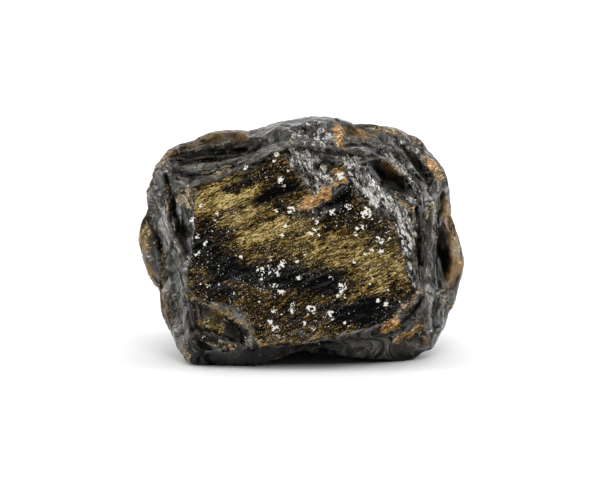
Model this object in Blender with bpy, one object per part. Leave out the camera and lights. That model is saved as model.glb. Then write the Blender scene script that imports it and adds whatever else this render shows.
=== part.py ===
"""Raw golden sheen obsidian: one broken lump of volcanic glass, standing on its lower side.

The stone is described the way it is looked at: u runs to the right, v up and w towards the
viewer, in millimetres, with the viewer a little above the level of the stone. A faceted block is
struck with conchoidal scars, weathered a little, and cut flat where it rests on the ground.
"""

from dataclasses import dataclass
from math import cos, radians, sin, sqrt

import bmesh
import bpy
from mathutils import Matrix, Vector, noise
from mathutils.bvhtree import BVHTree

MM = 0.001

# Viewing frame
VIEW_ELEVATION = radians(12.0)
RIGHT = Vector((1.0, 0.0, 0.0))
UP = Vector((0.0, sin(VIEW_ELEVATION), cos(VIEW_ELEVATION)))
TOWARD = Vector((0.0, -cos(VIEW_ELEVATION), sin(VIEW_ELEVATION)))
EYE_DISTANCE = 200.0
GROUND_BELOW_CENTRE = 21.96

# Block before the scars, as (u, v, w): outline of the sheen face, ridges between the face and the
# widest outline, the widest outline itself, and the back
FACE_OUTLINE = (
    (-23.4, 11.0, 15.0), (-17.4, 13.0, 15.8), (-6.4, 18.2, 16.2), (-1.8, 20.0, 16.2),
    (3.0, 19.4, 16.4), (12.6, 17.4, 16.2), (18.6, 13.0, 15.8), (22.4, 6.4, 15.4),
    (23.0, -4.0, 15.2), (22.2, -11.6, 15.0), (17.0, -17.2, 15.4), (9.6, -18.8, 15.8),
    (3.6, -19.6, 15.8), (-8.0, -20.9, 15.4), (-21.8, -21.6, 13.6), (-22.8, -11.0, 14.6),
    (-23.0, -1.6, 14.9),
)
SIDE_RIDGES = (
    (-29.6, 12.4, 8.0), (-27.0, 5.6, 10.8), (-25.4, -0.8, 12.7), (-26.6, 17.6, 7.4),
    (-12.0, 20.4, 9.6), (-0.6, 23.0, 10.0), (7.0, 20.6, 13.8), (16.0, 19.6, 10.6),
    (25.8, 12.4, 11.2), (25.8, 3.6, 12.3), (25.5, -4.0, 12.4), (25.4, -11.6, 12.2),
    (25.6, -18.2, 9.4), (-25.6, -12.0, 11.4), (-23.4, -22.0, 11.4),
)
WIDEST_OUTLINE = (
    (0.4, 25.0, 3.0), (7.2, 25.1, 3.0), (13.0, 24.0, 2.5), (18.4, 23.2, 2.0),
    (23.4, 21.2, 1.0), (26.8, 17.2, 0.5), (29.0, 13.2, 1.0), (29.9, 8.0, 1.0),
    (31.4, 1.6, -1.0), (32.4, -3.8, -2.0), (31.4, -9.2, -2.0), (30.2, -13.2, 0.0),
    (28.8, -17.0, 1.0), (26.6, -21.0, 3.0), (20.8, -24.4, 5.0), (10.0, -25.0, 6.0),
    (-9.0, -26.2, 10.0), (-19.0, -26.0, 10.0), (-23.8, -23.8, 8.5), (-25.8, -19.2, 6.0),
    (-28.2, -14.2, 3.0), (-30.8, -7.2, 1.0), (-32.4, -1.0, 0.0), (-32.7, 2.4, 0.0),
    (-31.6, 10.4, 2.0), (-29.6, 15.6, 3.0), (-26.4, 19.4, 3.5), (-18.2, 22.7, 3.0),
    (-11.0, 23.2, 3.0), (-5.6, 24.4, 3.0),
)
BACK_OUTLINE = (
    (-5.0, 20.5, -12.0), (9.0, 21.5, -15.0), (20.0, 15.5, -14.0), (27.0, 3.0, -11.5),
    (26.0, -13.0, -10.0), (18.0, -21.5, -12.0), (2.0, -21.5, -17.0), (-14.0, -21.0, -13.5),
    (-24.5, -13.0, -10.0), (-28.0, 1.0, -10.0), (-23.0, 14.0, -9.0), (-14.0, 19.5, -12.0),
)
BACK_PEAKS = (
    (-12.0, 10.0, -19.5), (5.0, 11.0, -23.0), (15.0, -3.0, -20.0), (0.0, -7.0, -23.5),
    (-16.0, -4.0, -18.5),
)

# Flat base, surface finish and weight of the mesh
BASE_REACH = 60.0
REMESH_VOXEL = 0.55
TRIANGLE_SHARE = 0.11
WEATHERING = ((9.0, 0.22), (3.4, 0.12))
SCAR_SEGMENTS = 40
SCAR_RINGS = 24


@dataclass(frozen=True)
class Scar:
    """One conchoidal scar, in millimetres of the viewing frame.

    The blow is seen at (u, v) from the viewer's side, or from behind when from_back is set. facing
    is the direction in which the scar looks out, along runs down its length, and bowl is how far
    out its bottom curves before the scar reaches its length and width.
    """

    u: float
    v: float
    facing: tuple
    along: tuple
    length: float
    width: float
    depth: float
    bowl: float = 14.0
    from_back: bool = False


# Large scars that make the sides of the stone, as seen from the front. Each line gives u, v,
# facing, along, length, width, depth and bowl
SIDE_SCARS = (
    # Left side: long outer facet, its lower part, and the lump behind it
    Scar(-28.6, 3.0, (-0.84, 0.0, 0.54), (0.30, -0.95, 0.0), 18.0, 6.4, 1.3, 22.0),
    Scar(-25.4, -15.0, (-0.86, -0.10, 0.50), (0.18, -0.98, 0.0), 12.0, 7.0, 1.1, 24.0),
    Scar(-30.4, 8.6, (-0.98, 0.10, 0.18), (0.20, 0.95, 0.0), 4.4, 3.0, 0.7, 6.0),
    Scar(-29.6, -10.4, (-0.92, -0.30, 0.22), (0.30, -0.90, 0.0), 4.6, 4.0, 0.8, 8.0),
    # Upper left: broad step below the rim, and the grey facet beside the apex
    Scar(-19.4, 17.4, (-0.20, 0.66, 0.72), (0.96, 0.26, 0.0), 12.0, 4.8, 2.6, 12.0),
    Scar(-6.2, 21.2, (-0.34, 0.76, 0.55), (0.80, 0.58, 0.0), 9.0, 6.2, 1.5, 22.0),
    Scar(-10.8, 22.2, (-0.05, 0.96, 0.26), (1.0, 0.0, 0.0), 1.8, 2.4, 0.6, 3.0),
    # Top: hackled hollow and the broad one to its right
    Scar(3.4, 22.2, (0.02, 0.86, 0.50), (1.0, 0.0, 0.0), 6.2, 4.2, 1.5, 10.0),
    Scar(13.0, 21.6, (0.16, 0.84, 0.52), (1.0, -0.10, 0.0), 7.4, 4.2, 1.7, 12.0),
    # Upper right: facet that falls to the right shoulder
    Scar(22.0, 16.0, (0.58, 0.58, 0.57), (0.62, -0.78, 0.0), 9.0, 5.4, 1.6, 18.0),
    # Right side: tall flutes, notches of the outline and the lump behind
    Scar(24.8, -2.0, (0.60, 0.0, 0.80), (0.03, 1.0, 0.0), 16.0, 2.6, 1.1, 10.0),
    Scar(28.2, 8.4, (0.90, 0.10, 0.42), (0.06, -1.0, 0.0), 8.4, 4.0, 1.6, 12.0),
    Scar(28.6, -4.6, (0.80, 0.0, 0.60), (0.14, -1.0, 0.0), 8.0, 3.4, 1.9, 9.0),
    Scar(26.6, -15.6, (0.84, -0.24, 0.48), (0.25, 0.95, 0.0), 7.0, 4.2, 1.1, 16.0),
    Scar(28.4, -15.4, (0.96, -0.20, 0.10), (0.30, 0.95, 0.0), 3.0, 3.0, 0.6, 5.0),
    # Lower right corner, lower edge and the underside in front
    Scar(21.2, -18.0, (0.42, -0.62, 0.66), (0.85, 0.52, 0.0), 8.0, 4.2, 1.6, 14.0),
    Scar(13.0, -21.2, (0.04, -0.78, 0.62), (1.0, 0.05, 0.0), 13.0, 3.6, 1.2, 16.0),
    Scar(-2.0, -22.0, (-0.04, -0.80, 0.60), (1.0, 0.10, 0.0), 11.0, 3.6, 1.2, 16.0),
    Scar(-15.4, -23.8, (-0.10, -0.84, 0.53), (1.0, -0.12, 0.0), 9.0, 3.4, 1.0, 14.0),
)
# Smaller scars, struck after the large ones, on the sheen face and beside it
FACE_SCARS = (
    # Cliff down the left edge of the sheen face
    Scar(-25.8, 7.4, (-0.48, 0.05, 0.88), (0.26, -0.97, 0.0), 11.0, 3.7, 1.7, 12.0),
    Scar(-23.9, -4.0, (-0.66, 0.0, 0.75), (0.10, -1.0, 0.0), 8.0, 1.6, 0.7, 7.0),
    Scar(-25.4, -6.4, (-0.76, 0.0, 0.65), (0.30, -0.95, 0.0), 6.0, 1.2, 0.6, 5.0),
    # Stacked ledges at the upper left
    Scar(-20.4, 19.4, (-0.10, 0.84, 0.54), (0.98, 0.14, 0.0), 8.0, 1.7, 0.8, 5.0),
    Scar(-19.6, 16.8, (-0.12, 0.72, 0.68), (0.97, 0.18, 0.0), 8.5, 1.6, 0.8, 5.0),
    Scar(-18.6, 14.4, (-0.16, 0.60, 0.78), (0.95, 0.30, 0.0), 7.0, 1.3, 0.8, 4.0),
    Scar(-23.0, 12.4, (-0.30, 0.30, 0.90), (1.0, 0.10, 0.0), 2.6, 1.5, 1.3, 4.0),
    # Concave band under the hackled hollow, and the leaf-shaped ridge beside it
    Scar(5.8, 18.9, (-0.04, 0.76, 0.65), (0.98, -0.22, 0.0), 8.0, 1.9, 1.1, 6.0),
    Scar(13.6, 19.2, (0.06, 0.66, 0.75), (0.98, 0.10, 0.0), 4.6, 1.2, 0.9, 4.0),
    Scar(-1.6, 20.6, (-0.20, 0.62, 0.76), (0.84, 0.54, 0.0), 3.0, 1.2, 0.6, 4.0),
    # Dark oval hollow at the upper right and the band that runs from it down the face
    Scar(17.8, 12.6, (0.34, 0.40, 0.85), (0.74, -0.66, 0.0), 6.8, 3.8, 3.0, 8.0),
    Scar(23.2, 14.6, (0.52, 0.50, 0.69), (0.50, -0.86, 0.0), 5.0, 1.5, 1.0, 5.0),
    Scar(19.6, 5.6, (0.12, 0.08, 0.99), (0.66, -0.75, 0.0), 5.6, 2.6, 0.7, 10.0),
    # Shell-shaped chip and the darker one below it
    Scar(2.2, 14.2, (0.10, 0.20, 0.97), (0.80, -0.60, 0.0), 4.6, 3.3, 1.1, 7.0),
    Scar(7.2, 9.2, (-0.10, -0.30, 0.95), (0.94, 0.34, 0.0), 3.4, 2.2, 0.8, 5.0),
    # Hollow at the lower left, with a raised rim on its right
    Scar(-17.2, -17.2, (-0.22, -0.34, 0.91), (0.86, -0.50, 0.0), 6.6, 4.2, 2.4, 8.0),
    Scar(-14.0, -18.4, (-0.10, -0.20, 0.97), (0.60, -0.80, 0.0), 3.4, 1.8, 1.4, 5.0),
    Scar(-19.6, -20.4, (-0.40, -0.60, 0.69), (0.95, -0.20, 0.0), 4.4, 1.8, 0.9, 5.0),
    # Slots between the right flutes, and the dark hollow in the right lump
    Scar(23.7, -1.6, (0.66, 0.0, 0.75), (0.03, 1.0, 0.0), 7.0, 0.9, 0.9, 3.0),
    Scar(24.4, 10.0, (0.62, 0.2, 0.76), (0.0, 1.0, 0.0), 2.6, 0.9, 0.9, 3.0),
    Scar(26.4, 1.0, (0.78, 0.0, 0.62), (0.02, 1.0, 0.0), 7.0, 0.9, 0.6, 4.0),
    Scar(28.0, -2.6, (0.66, 0.0, 0.75), (0.12, -1.0, 0.0), 5.6, 1.7, 1.1, 4.0),
    Scar(24.2, -17.6, (0.50, -0.40, 0.77), (0.50, 0.86, 0.0), 3.0, 1.3, 1.0, 4.0),
    Scar(20.4, -14.4, (0.40, -0.40, 0.82), (0.66, 0.75, 0.0), 5.0, 1.4, 0.7, 6.0),
    Scar(27.4, -11.2, (0.80, -0.10, 0.60), (0.60, 0.80, 0.0), 2.6, 1.2, 0.7, 4.0),
    # Hollow and crease on the left lump
    Scar(-29.6, -4.4, (-0.86, 0.0, 0.50), (0.25, -0.97, 0.0), 4.6, 1.6, 0.8, 6.0),
    Scar(-31.0, 3.6, (-0.92, 0.1, 0.38), (0.10, -0.99, 0.0), 2.8, 1.2, 0.6, 4.0),
)
# Scars on the side turned away from the viewer, as seen from behind at the same u and v
BACK_SCARS = (
    # Upper half, with the crest of the stone between the last two
    Scar(-15.0, 11.0, (-0.42, 0.46, -0.78), (0.80, 0.60, 0.0), 18.0, 13.0, 4.2, 32.0, True),
    Scar(14.0, 10.0, (0.38, 0.42, -0.82), (0.85, -0.50, 0.0), 17.0, 12.0, 4.4, 30.0, True),
    Scar(4.0, 22.0, (0.06, 0.90, -0.43), (1.0, -0.05, 0.0), 21.0, 10.0, 3.2, 34.0, True),
    Scar(-19.0, 19.6, (-0.36, 0.84, -0.40), (0.95, 0.30, 0.0), 11.0, 6.5, 1.8, 18.0, True),
    # Lower half, and the two flanks
    Scar(-22.0, -5.0, (-0.66, -0.12, -0.74), (0.20, 0.98, 0.0), 16.0, 11.0, 3.8, 26.0, True),
    Scar(-2.0, -6.0, (-0.08, -0.24, -0.97), (0.90, 0.44, 0.0), 16.0, 11.0, 3.6, 28.0, True),
    Scar(20.0, -5.0, (0.58, -0.16, -0.80), (0.10, 0.99, 0.0), 16.0, 10.5, 3.8, 26.0, True),
    Scar(28.6, 6.0, (0.88, 0.24, -0.41), (0.10, 0.99, 0.0), 13.0, 7.0, 1.8, 20.0, True),
    Scar(-29.4, 7.0, (-0.86, 0.22, -0.46), (0.15, -0.99, 0.0), 12.0, 7.0, 1.8, 18.0, True),
    Scar(24.0, -17.0, (0.62, -0.54, -0.57), (0.50, 0.86, 0.0), 11.0, 7.0, 2.0, 16.0, True),
    Scar(-17.0, -16.0, (-0.44, -0.54, -0.72), (0.85, -0.50, 0.0), 13.0, 7.5, 2.8, 18.0, True),
    # Smaller ones that break the ridges between them
    Scar(0.0, 8.0, (0.06, 0.30, -0.95), (0.45, -0.89, 0.0), 8.0, 4.6, 2.0, 12.0, True),
    Scar(-10.0, 3.0, (-0.30, 0.10, -0.95), (0.80, -0.60, 0.0), 6.5, 3.0, 1.5, 8.0, True),
    Scar(10.0, -14.0, (0.22, -0.50, -0.84), (0.90, 0.30, 0.0), 8.0, 4.0, 1.8, 9.0, True),
    Scar(-25.0, 14.0, (-0.74, 0.54, -0.40), (0.50, 0.86, 0.0), 6.0, 3.6, 1.2, 8.0, True),
    Scar(24.0, 14.0, (0.66, 0.56, -0.50), (0.50, -0.86, 0.0), 7.0, 4.0, 1.5, 9.0, True),
)

# Hollows of the underside, as middle and half size in world directions, with the middle below the
# ground: the arch between the two front lobes, then one to each side behind them
UNDERSIDE_HOLLOWS = (
    ((3.6, -12.0, -6.0), (20.5, 14.0, 8.1)),
    ((-20.0, 7.0, -6.5), (15.0, 12.5, 9.0)),
    ((19.5, 10.0, -6.5), (15.0, 12.5, 9.2)),
)

# Finish
GLASS_COLOUR = (0.030, 0.026, 0.018, 1.0)
GLASS_ROUGHNESS = 0.22


def frame_direction(direction):
    """Turn a (u, v, w) direction of the viewing frame into a world direction."""
    u, v, w = direction
    return (RIGHT * u + UP * v + TOWARD * w).normalized()


def frame_point(point):
    """Turn a (u, v, w) point of the viewing frame, in millimetres, into world metres."""
    u, v, w = point
    centre = Vector((0.0, 0.0, GROUND_BELOW_CENTRE))
    return (centre + RIGHT * u + UP * v + TOWARD * w) * MM


def clear_scene():
    """Remove every object of the scene."""
    for thing in list(bpy.data.objects):
        bpy.data.objects.remove(thing, do_unlink=True)


def new_object(name, bm):
    """Make an object of a bmesh and link it to the scene."""
    mesh = bpy.data.meshes.new(name)
    bm.to_mesh(mesh)
    bm.free()
    thing = bpy.data.objects.new(name, mesh)
    bpy.context.scene.collection.objects.link(thing)
    return thing


def new_cutter(name, bm):
    """Make an object that only cuts the stone and isn't part of it."""
    cutter = new_object(name, bm)
    cutter.hide_render = True
    cutter.display_type = "WIRE"
    return cutter


def make_block():
    """Build the block that the scars are struck from, as the hull of its outlines."""
    bm = bmesh.new()
    for outline in (FACE_OUTLINE, SIDE_RIDGES, WIDEST_OUTLINE, BACK_OUTLINE, BACK_PEAKS):
        for point in outline:
            bm.verts.new(frame_point(point))
    hull = bmesh.ops.convex_hull(bm, input=bm.verts)
    inside = [v for v in hull["geom_interior"] if isinstance(v, bmesh.types.BMVert)]
    bmesh.ops.delete(bm, geom=inside, context="VERTS")
    bmesh.ops.recalc_face_normals(bm, faces=bm.faces)
    return new_object("stone", bm)


def evaluated_bmesh(thing):
    """Return a bmesh of an object with its modifiers applied."""
    graph = bpy.context.evaluated_depsgraph_get()
    bm = bmesh.new()
    bm.from_object(thing, graph)
    return bm


def struck_point(surface, scar):
    """Find where the line of sight through (u, v) meets the surface of the stone."""
    side = -1.0 if scar.from_back else 1.0
    start = frame_point((scar.u, scar.v, side * EYE_DISTANCE))
    found = surface.ray_cast(start, -TOWARD * side)
    if found[0] is None:
        raise ValueError(f"scar at {scar.u}, {scar.v} misses the stone")
    return found[0]


def add_ellipsoid(bm, place):
    """Add a closed ellipsoid to a bmesh: the unit sphere, placed by a matrix."""
    bmesh.ops.create_uvsphere(
        bm, u_segments=SCAR_SEGMENTS, v_segments=SCAR_RINGS, radius=1.0, matrix=place
    )
    bmesh.ops.recalc_face_normals(bm, faces=bm.faces)


def scar_cutter(name, surface, scar):
    """Make the ellipsoid whose bottom is the scar."""
    outward = frame_direction(scar.facing)
    along = frame_direction(scar.along)
    across = outward.cross(along).normalized()
    along = across.cross(outward)
    height = scar.depth / scar.bowl
    spread = sqrt(2.0 * height - height * height)
    radii = Matrix.Diagonal((scar.length / spread, scar.width / spread, scar.bowl, 1.0))
    axes = Matrix((along, across, outward)).transposed().to_4x4()
    deepest = struck_point(surface, scar) - outward * scar.depth * MM
    centre = deepest + outward * scar.bowl * MM
    bm = bmesh.new()
    add_ellipsoid(bm, Matrix.Translation(centre) @ axes @ radii @ Matrix.Scale(MM, 4))
    return new_cutter(name, bm)


def strike_scars(stone, name, scars):
    """Cut one set of scars out of the stone, all measured from its surface before the set."""
    current = evaluated_bmesh(stone)
    surface = BVHTree.FromBMesh(current)
    current.free()
    cutters = bpy.data.collections.new(name)
    bpy.context.scene.collection.children.link(cutters)
    for scar in scars:
        cutter = scar_cutter(name + "_scar", surface, scar)
        bpy.context.scene.collection.objects.unlink(cutter)
        cutters.objects.link(cutter)
    cut = stone.modifiers.new(name, "BOOLEAN")
    cut.operation = "DIFFERENCE"
    cut.operand_type = "COLLECTION"
    cut.collection = cutters
    cut.solver = "EXACT"


def hollow_underside(stone):
    """Hollow the underside, so that the stone stands on two lobes in front and one behind."""
    for number, (middle, half_size) in enumerate(UNDERSIDE_HOLLOWS, start=1):
        bm = bmesh.new()
        place = Matrix.Translation(Vector(middle) * MM) @ Matrix.Diagonal((*half_size, 1.0))
        add_ellipsoid(bm, place @ Matrix.Scale(MM, 4))
        subtract(stone, f"underside_{number}", new_cutter("underside_cutter", bm))


def subtract(stone, name, cutter):
    """Subtract one cutter from the stone with an exact Boolean."""
    cut = stone.modifiers.new(name, "BOOLEAN")
    cut.operation = "DIFFERENCE"
    cut.object = cutter
    cut.solver = "EXACT"


def remesh(stone):
    """Even out the faces before the weathering, with a voxel finer than the ridges."""
    grid = stone.modifiers.new("even_faces", "REMESH")
    grid.mode = "VOXEL"
    grid.voxel_size = REMESH_VOXEL * MM


def weather(bm):
    """Lift and lower the surface a little along its normals with noise."""
    bm.normal_update()
    shifts = []
    for vert in bm.verts:
        shift = 0.0
        for wavelength, height in WEATHERING:
            shift += height * noise.noise(vert.co / (wavelength * MM))
        shifts.append(vert.normal * shift * MM)
    for vert, shift in zip(bm.verts, shifts):
        vert.co += shift


def reduce_faces(stone):
    """Collapse the flat stretches so that the triangles gather on ridges and hollows."""
    fewer = stone.modifiers.new("fewer_faces", "DECIMATE")
    fewer.decimate_type = "COLLAPSE"
    fewer.ratio = TRIANGLE_SHARE


def cut_base(stone):
    """Cut the stone flat at the ground."""
    bm = bmesh.new()
    bmesh.ops.create_cube(bm, size=2.0 * BASE_REACH * MM)
    bmesh.ops.translate(bm, verts=bm.verts, vec=Vector((0.0, 0.0, -BASE_REACH * MM)))
    subtract(stone, "base", new_cutter("ground_cutter", bm))


def glass_material():
    """Make the material of the raw obsidian."""
    material = bpy.data.materials.new("raw_obsidian")
    material.use_nodes = True
    shader = material.node_tree.nodes["Principled BSDF"]
    shader.inputs["Base Color"].default_value = GLASS_COLOUR
    shader.inputs["Roughness"].default_value = GLASS_ROUGHNESS
    shader.inputs["Metallic"].default_value = 0.0
    return material


def centre_on_origin(bm):
    """Move the stone so that the middle of its box stands over the origin."""
    xs = [v.co.x for v in bm.verts]
    ys = [v.co.y for v in bm.verts]
    zs = [v.co.z for v in bm.verts]
    middle = Vector(((min(xs) + max(xs)) / 2.0, (min(ys) + max(ys)) / 2.0, min(zs)))
    bmesh.ops.translate(bm, verts=bm.verts, vec=-middle)


def apply_modifiers(stone, finish):
    """Apply the stone's modifiers and a last change to the bmesh that they give."""
    bm = evaluated_bmesh(stone)
    stone.modifiers.clear()
    finish(bm)
    bm.to_mesh(stone.data)
    bm.free()


def main():
    """Build the stone."""
    clear_scene()
    stone = make_block()
    strike_scars(stone, "side", SIDE_SCARS)
    strike_scars(stone, "back", BACK_SCARS)
    strike_scars(stone, "face", FACE_SCARS)
    hollow_underside(stone)
    remesh(stone)
    apply_modifiers(stone, weather)
    reduce_faces(stone)
    cut_base(stone)
    apply_modifiers(stone, centre_on_origin)
    stone.data.materials.append(glass_material())


main()
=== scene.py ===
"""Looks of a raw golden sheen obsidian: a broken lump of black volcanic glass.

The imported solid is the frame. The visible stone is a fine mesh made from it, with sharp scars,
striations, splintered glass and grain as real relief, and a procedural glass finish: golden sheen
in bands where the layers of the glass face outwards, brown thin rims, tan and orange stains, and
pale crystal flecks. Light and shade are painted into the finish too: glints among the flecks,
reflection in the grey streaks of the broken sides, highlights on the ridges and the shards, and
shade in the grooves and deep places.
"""

import logging
import random
from dataclasses import dataclass, field
from enum import Enum
from math import cos, pi, radians, sin

import bmesh
import bpy
import numpy as np
from mathutils import Matrix, Vector, noise
from mathutils.kdtree import KDTree


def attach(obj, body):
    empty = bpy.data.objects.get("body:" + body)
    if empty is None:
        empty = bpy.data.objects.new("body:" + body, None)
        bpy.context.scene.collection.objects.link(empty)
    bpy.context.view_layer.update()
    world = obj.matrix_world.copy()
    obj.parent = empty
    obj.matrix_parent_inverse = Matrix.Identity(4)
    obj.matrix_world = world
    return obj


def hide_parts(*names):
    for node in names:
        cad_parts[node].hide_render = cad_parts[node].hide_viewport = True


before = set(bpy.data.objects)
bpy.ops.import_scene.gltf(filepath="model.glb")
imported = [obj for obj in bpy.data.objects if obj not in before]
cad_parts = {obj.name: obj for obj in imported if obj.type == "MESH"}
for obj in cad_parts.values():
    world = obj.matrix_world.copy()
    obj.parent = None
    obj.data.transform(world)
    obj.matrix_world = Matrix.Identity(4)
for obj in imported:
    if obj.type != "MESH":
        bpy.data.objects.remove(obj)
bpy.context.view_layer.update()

MM = 0.001
LOG = logging.getLogger("obsidian")

Pair = tuple[float, float]
Triple = tuple[float, float, float]
Colour = tuple[float, float, float]
Socket = bpy.types.NodeSocket


class Channel(Enum):
    """What is painted on the points of the stone for its finish to read."""

    SHEEN = "sheen"
    SPLINTER = "splinter"
    STAIN = "stain"
    RIM = "rim"
    # Worn pale crests, with painted highlight along the ridges
    WEAR_AND_HIGHLIGHT = "wear_and_highlight"
    WARM = "warm"
    # Pale crystal flecks, with painted glints among them
    CRYSTAL_AND_GLINT = "crystal"
    FACE = "face"
    # Dull grey film with painted reflection of the lights in it
    FILM_AND_REFLECTION = "film_and_reflection"
    # Painted shade in grooves, dips and deep places
    RECESS_SHADE = "recess_shade"
    # Painted highlight along the middle of the ridges
    EDGE = "edge"


@dataclass(frozen=True)
class ViewingFrame:
    """The directions in which the stone is looked at: u right, v up, w towards the viewer.

    Its middle is where the middle of the picture falls on the stone, and its unit is 1 mm.
    """

    elevation: float = radians(12.0)
    middle: Triple = (0.04, -1.93, 21.96)

    def axes(self) -> np.ndarray:
        """Return the u, v and w directions as the rows of a matrix.

        Returns:
            Three rows of length 1.
        """
        up = (0.0, sin(self.elevation), cos(self.elevation))
        toward = (0.0, -cos(self.elevation), sin(self.elevation))
        return np.array([(1.0, 0.0, 0.0), up, toward])

    def from_world(self, points: np.ndarray) -> np.ndarray:
        """Turn world points in metres into (u, v, w) rows in millimetres."""
        return (points / MM - np.array(self.middle)) @ self.axes().T

    def to_world(self, u: float, v: float, w: float) -> Vector:
        """Turn one (u, v, w) point in millimetres into a world point in metres."""
        place = np.array(self.middle) + np.array((u, v, w)) @ self.axes()
        return Vector(place * MM)

    def toward(self) -> Vector:
        """Return the direction from the stone to the viewer."""
        return Vector(self.axes()[2])

    def facing(self, vectors: np.ndarray) -> np.ndarray:
        """Return how much each row looks towards the viewer, from -1 to 1."""
        return vectors @ np.array(self.toward())


VIEW = ViewingFrame()


@dataclass(frozen=True)
class Stroke:
    """A patch drawn along a line on the side that faces the viewer, in millimetres.

    It runs through its (u, v) points with a half width, and adds its strength there.
    """

    points: tuple[Pair, ...]
    width: float
    strength: float = 1.0

    def amount(self, uv: np.ndarray, softness: float) -> np.ndarray:
        """Return how much of the stroke falls on each point.

        Args:
            uv: the points, as rows of u and v.
            softness: the share of the half width over which the stroke fades.

        Returns:
            One value for each point, from 0 to the strength.
        """
        nearest = line_gap(self.points, uv)
        inside = smooth_step(1.0 + softness, 1.0 - softness, nearest / self.width)
        return inside * self.strength

    def ledge(self, uv: np.ndarray) -> np.ndarray:
        """Return the strength on the line, falling slowly to its left and steeply to its right.

        Args:
            uv: the points, as rows of u and v.

        Returns:
            One value for each point.
        """
        gap = signed_gap(self.points, uv)
        reach = np.where(gap > 0.0, 1.5 * self.width, 0.4 * self.width)
        return self.strength * np.clip(1.0 - np.abs(gap) / reach, 0.0, 1.0)


def smooth_step(low: float, high: float, value: np.ndarray) -> np.ndarray:
    """Return 0 below low, 1 above high and a smooth rise between; low may be the larger."""
    share = np.clip((value - low) / (high - low), 0.0, 1.0)
    return share * share * (3.0 - 2.0 * share)


def line_gap(line: tuple[Pair, ...], uv: np.ndarray) -> np.ndarray:
    """Return how far each point is from a line through (u, v) points.

    Args:
        line: the points of the line.
        uv: the points, as rows of u and v.

    Returns:
        One distance for each point.
    """
    nearest = np.full(len(uv), np.inf)
    for start, end in zip(line, line[1:]):
        a, b = np.array(start), np.array(end)
        along = b - a
        share = np.clip(((uv - a) @ along) / max(along @ along, 1e-9), 0.0, 1.0)
        gap = uv - (a + share[:, None] * along)
        nearest = np.minimum(nearest, np.sqrt((gap * gap).sum(axis=1)))
    return nearest


def signed_gap(line: tuple[Pair, ...], uv: np.ndarray) -> np.ndarray:
    """Return how far each point is from a line, with a minus on its right-hand side.

    Args:
        line: the points of the line.
        uv: the points, as rows of u and v.

    Returns:
        One distance for each point.
    """
    nearest = np.full(len(uv), np.inf)
    signed = np.zeros(len(uv))
    for start, end in zip(line, line[1:]):
        gap = line_gap((start, end), uv)
        side = (end[0] - start[0]) * (uv[:, 1] - start[1]) - (end[1] - start[1]) * (uv[:, 0] - start[0])
        closer = gap < nearest
        signed[closer] = np.copysign(gap, side)[closer]
        nearest = np.minimum(nearest, gap)
    return signed


def inside_amount(outline: tuple[Pair, ...], uv: np.ndarray, fade: float) -> np.ndarray:
    """Return 1 inside a closed outline and 0 outside it, with a soft edge.

    Args:
        outline: its (u, v) corners in order.
        uv: the points, as rows of u and v.
        fade: the width of the soft edge.

    Returns:
        One value for each point.
    """
    u, v = uv.T
    inside = np.zeros(len(uv), bool)
    closed = outline + outline[:1]
    for (u0, v0), (u1, v1) in zip(closed, closed[1:]):
        if v0 != v1:
            inside ^= ((v0 > v) != (v1 > v)) & (u < (u1 - u0) * (v - v0) / (v1 - v0) + u0)
    gap = line_gap(closed, uv) * np.where(inside, 1.0, -1.0)
    return smooth_step(-0.5 * fade, 0.5 * fade, gap)


def unit(vectors: np.ndarray) -> np.ndarray:
    """Scale each row to length 1."""
    return vectors / np.maximum(np.linalg.norm(vectors, axis=1, keepdims=True), 1e-12)


def tree_of(points: np.ndarray) -> KDTree:
    """Return a tree that finds the points near a place.

    Args:
        points: the points, as rows.

    Returns:
        The tree, which knows each point by its row number.
    """
    tree = KDTree(len(points))
    for number, point in enumerate(points.tolist()):
        tree.insert(point, number)
    tree.balance()
    return tree


def fractal(points: np.ndarray, octaves: int, shift: float = 0.0) -> np.ndarray:
    """Return smooth noise of several octaves at each row, about -1 to 1.

    Args:
        points: the places, already divided by the wavelength.
        octaves: how many octaves are added up.
        shift: an offset that makes the pattern another one.

    Returns:
        One value for each row.
    """
    places = (points + shift).tolist()
    return np.array([noise.fractal(p, 1.0, 2.1, octaves) for p in places])


def ridged(points: np.ndarray, octaves: int, shift: float = 0.0) -> np.ndarray:
    """Return noise with sharp crests at each row, about 0 to 1."""
    places = (points + shift).tolist()
    return np.array([noise.ridged_multi_fractal(p, 1.0, 2.1, octaves, 1.0, 2.0) for p in places]) / 2.0


def strokes(*rows: tuple[float | Pair, ...]) -> tuple[Stroke, ...]:
    """Make strokes from rows of a half width, a strength and (u, v) points."""
    return tuple(Stroke(tuple(points), width, strength) for width, strength, *points in rows)


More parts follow.
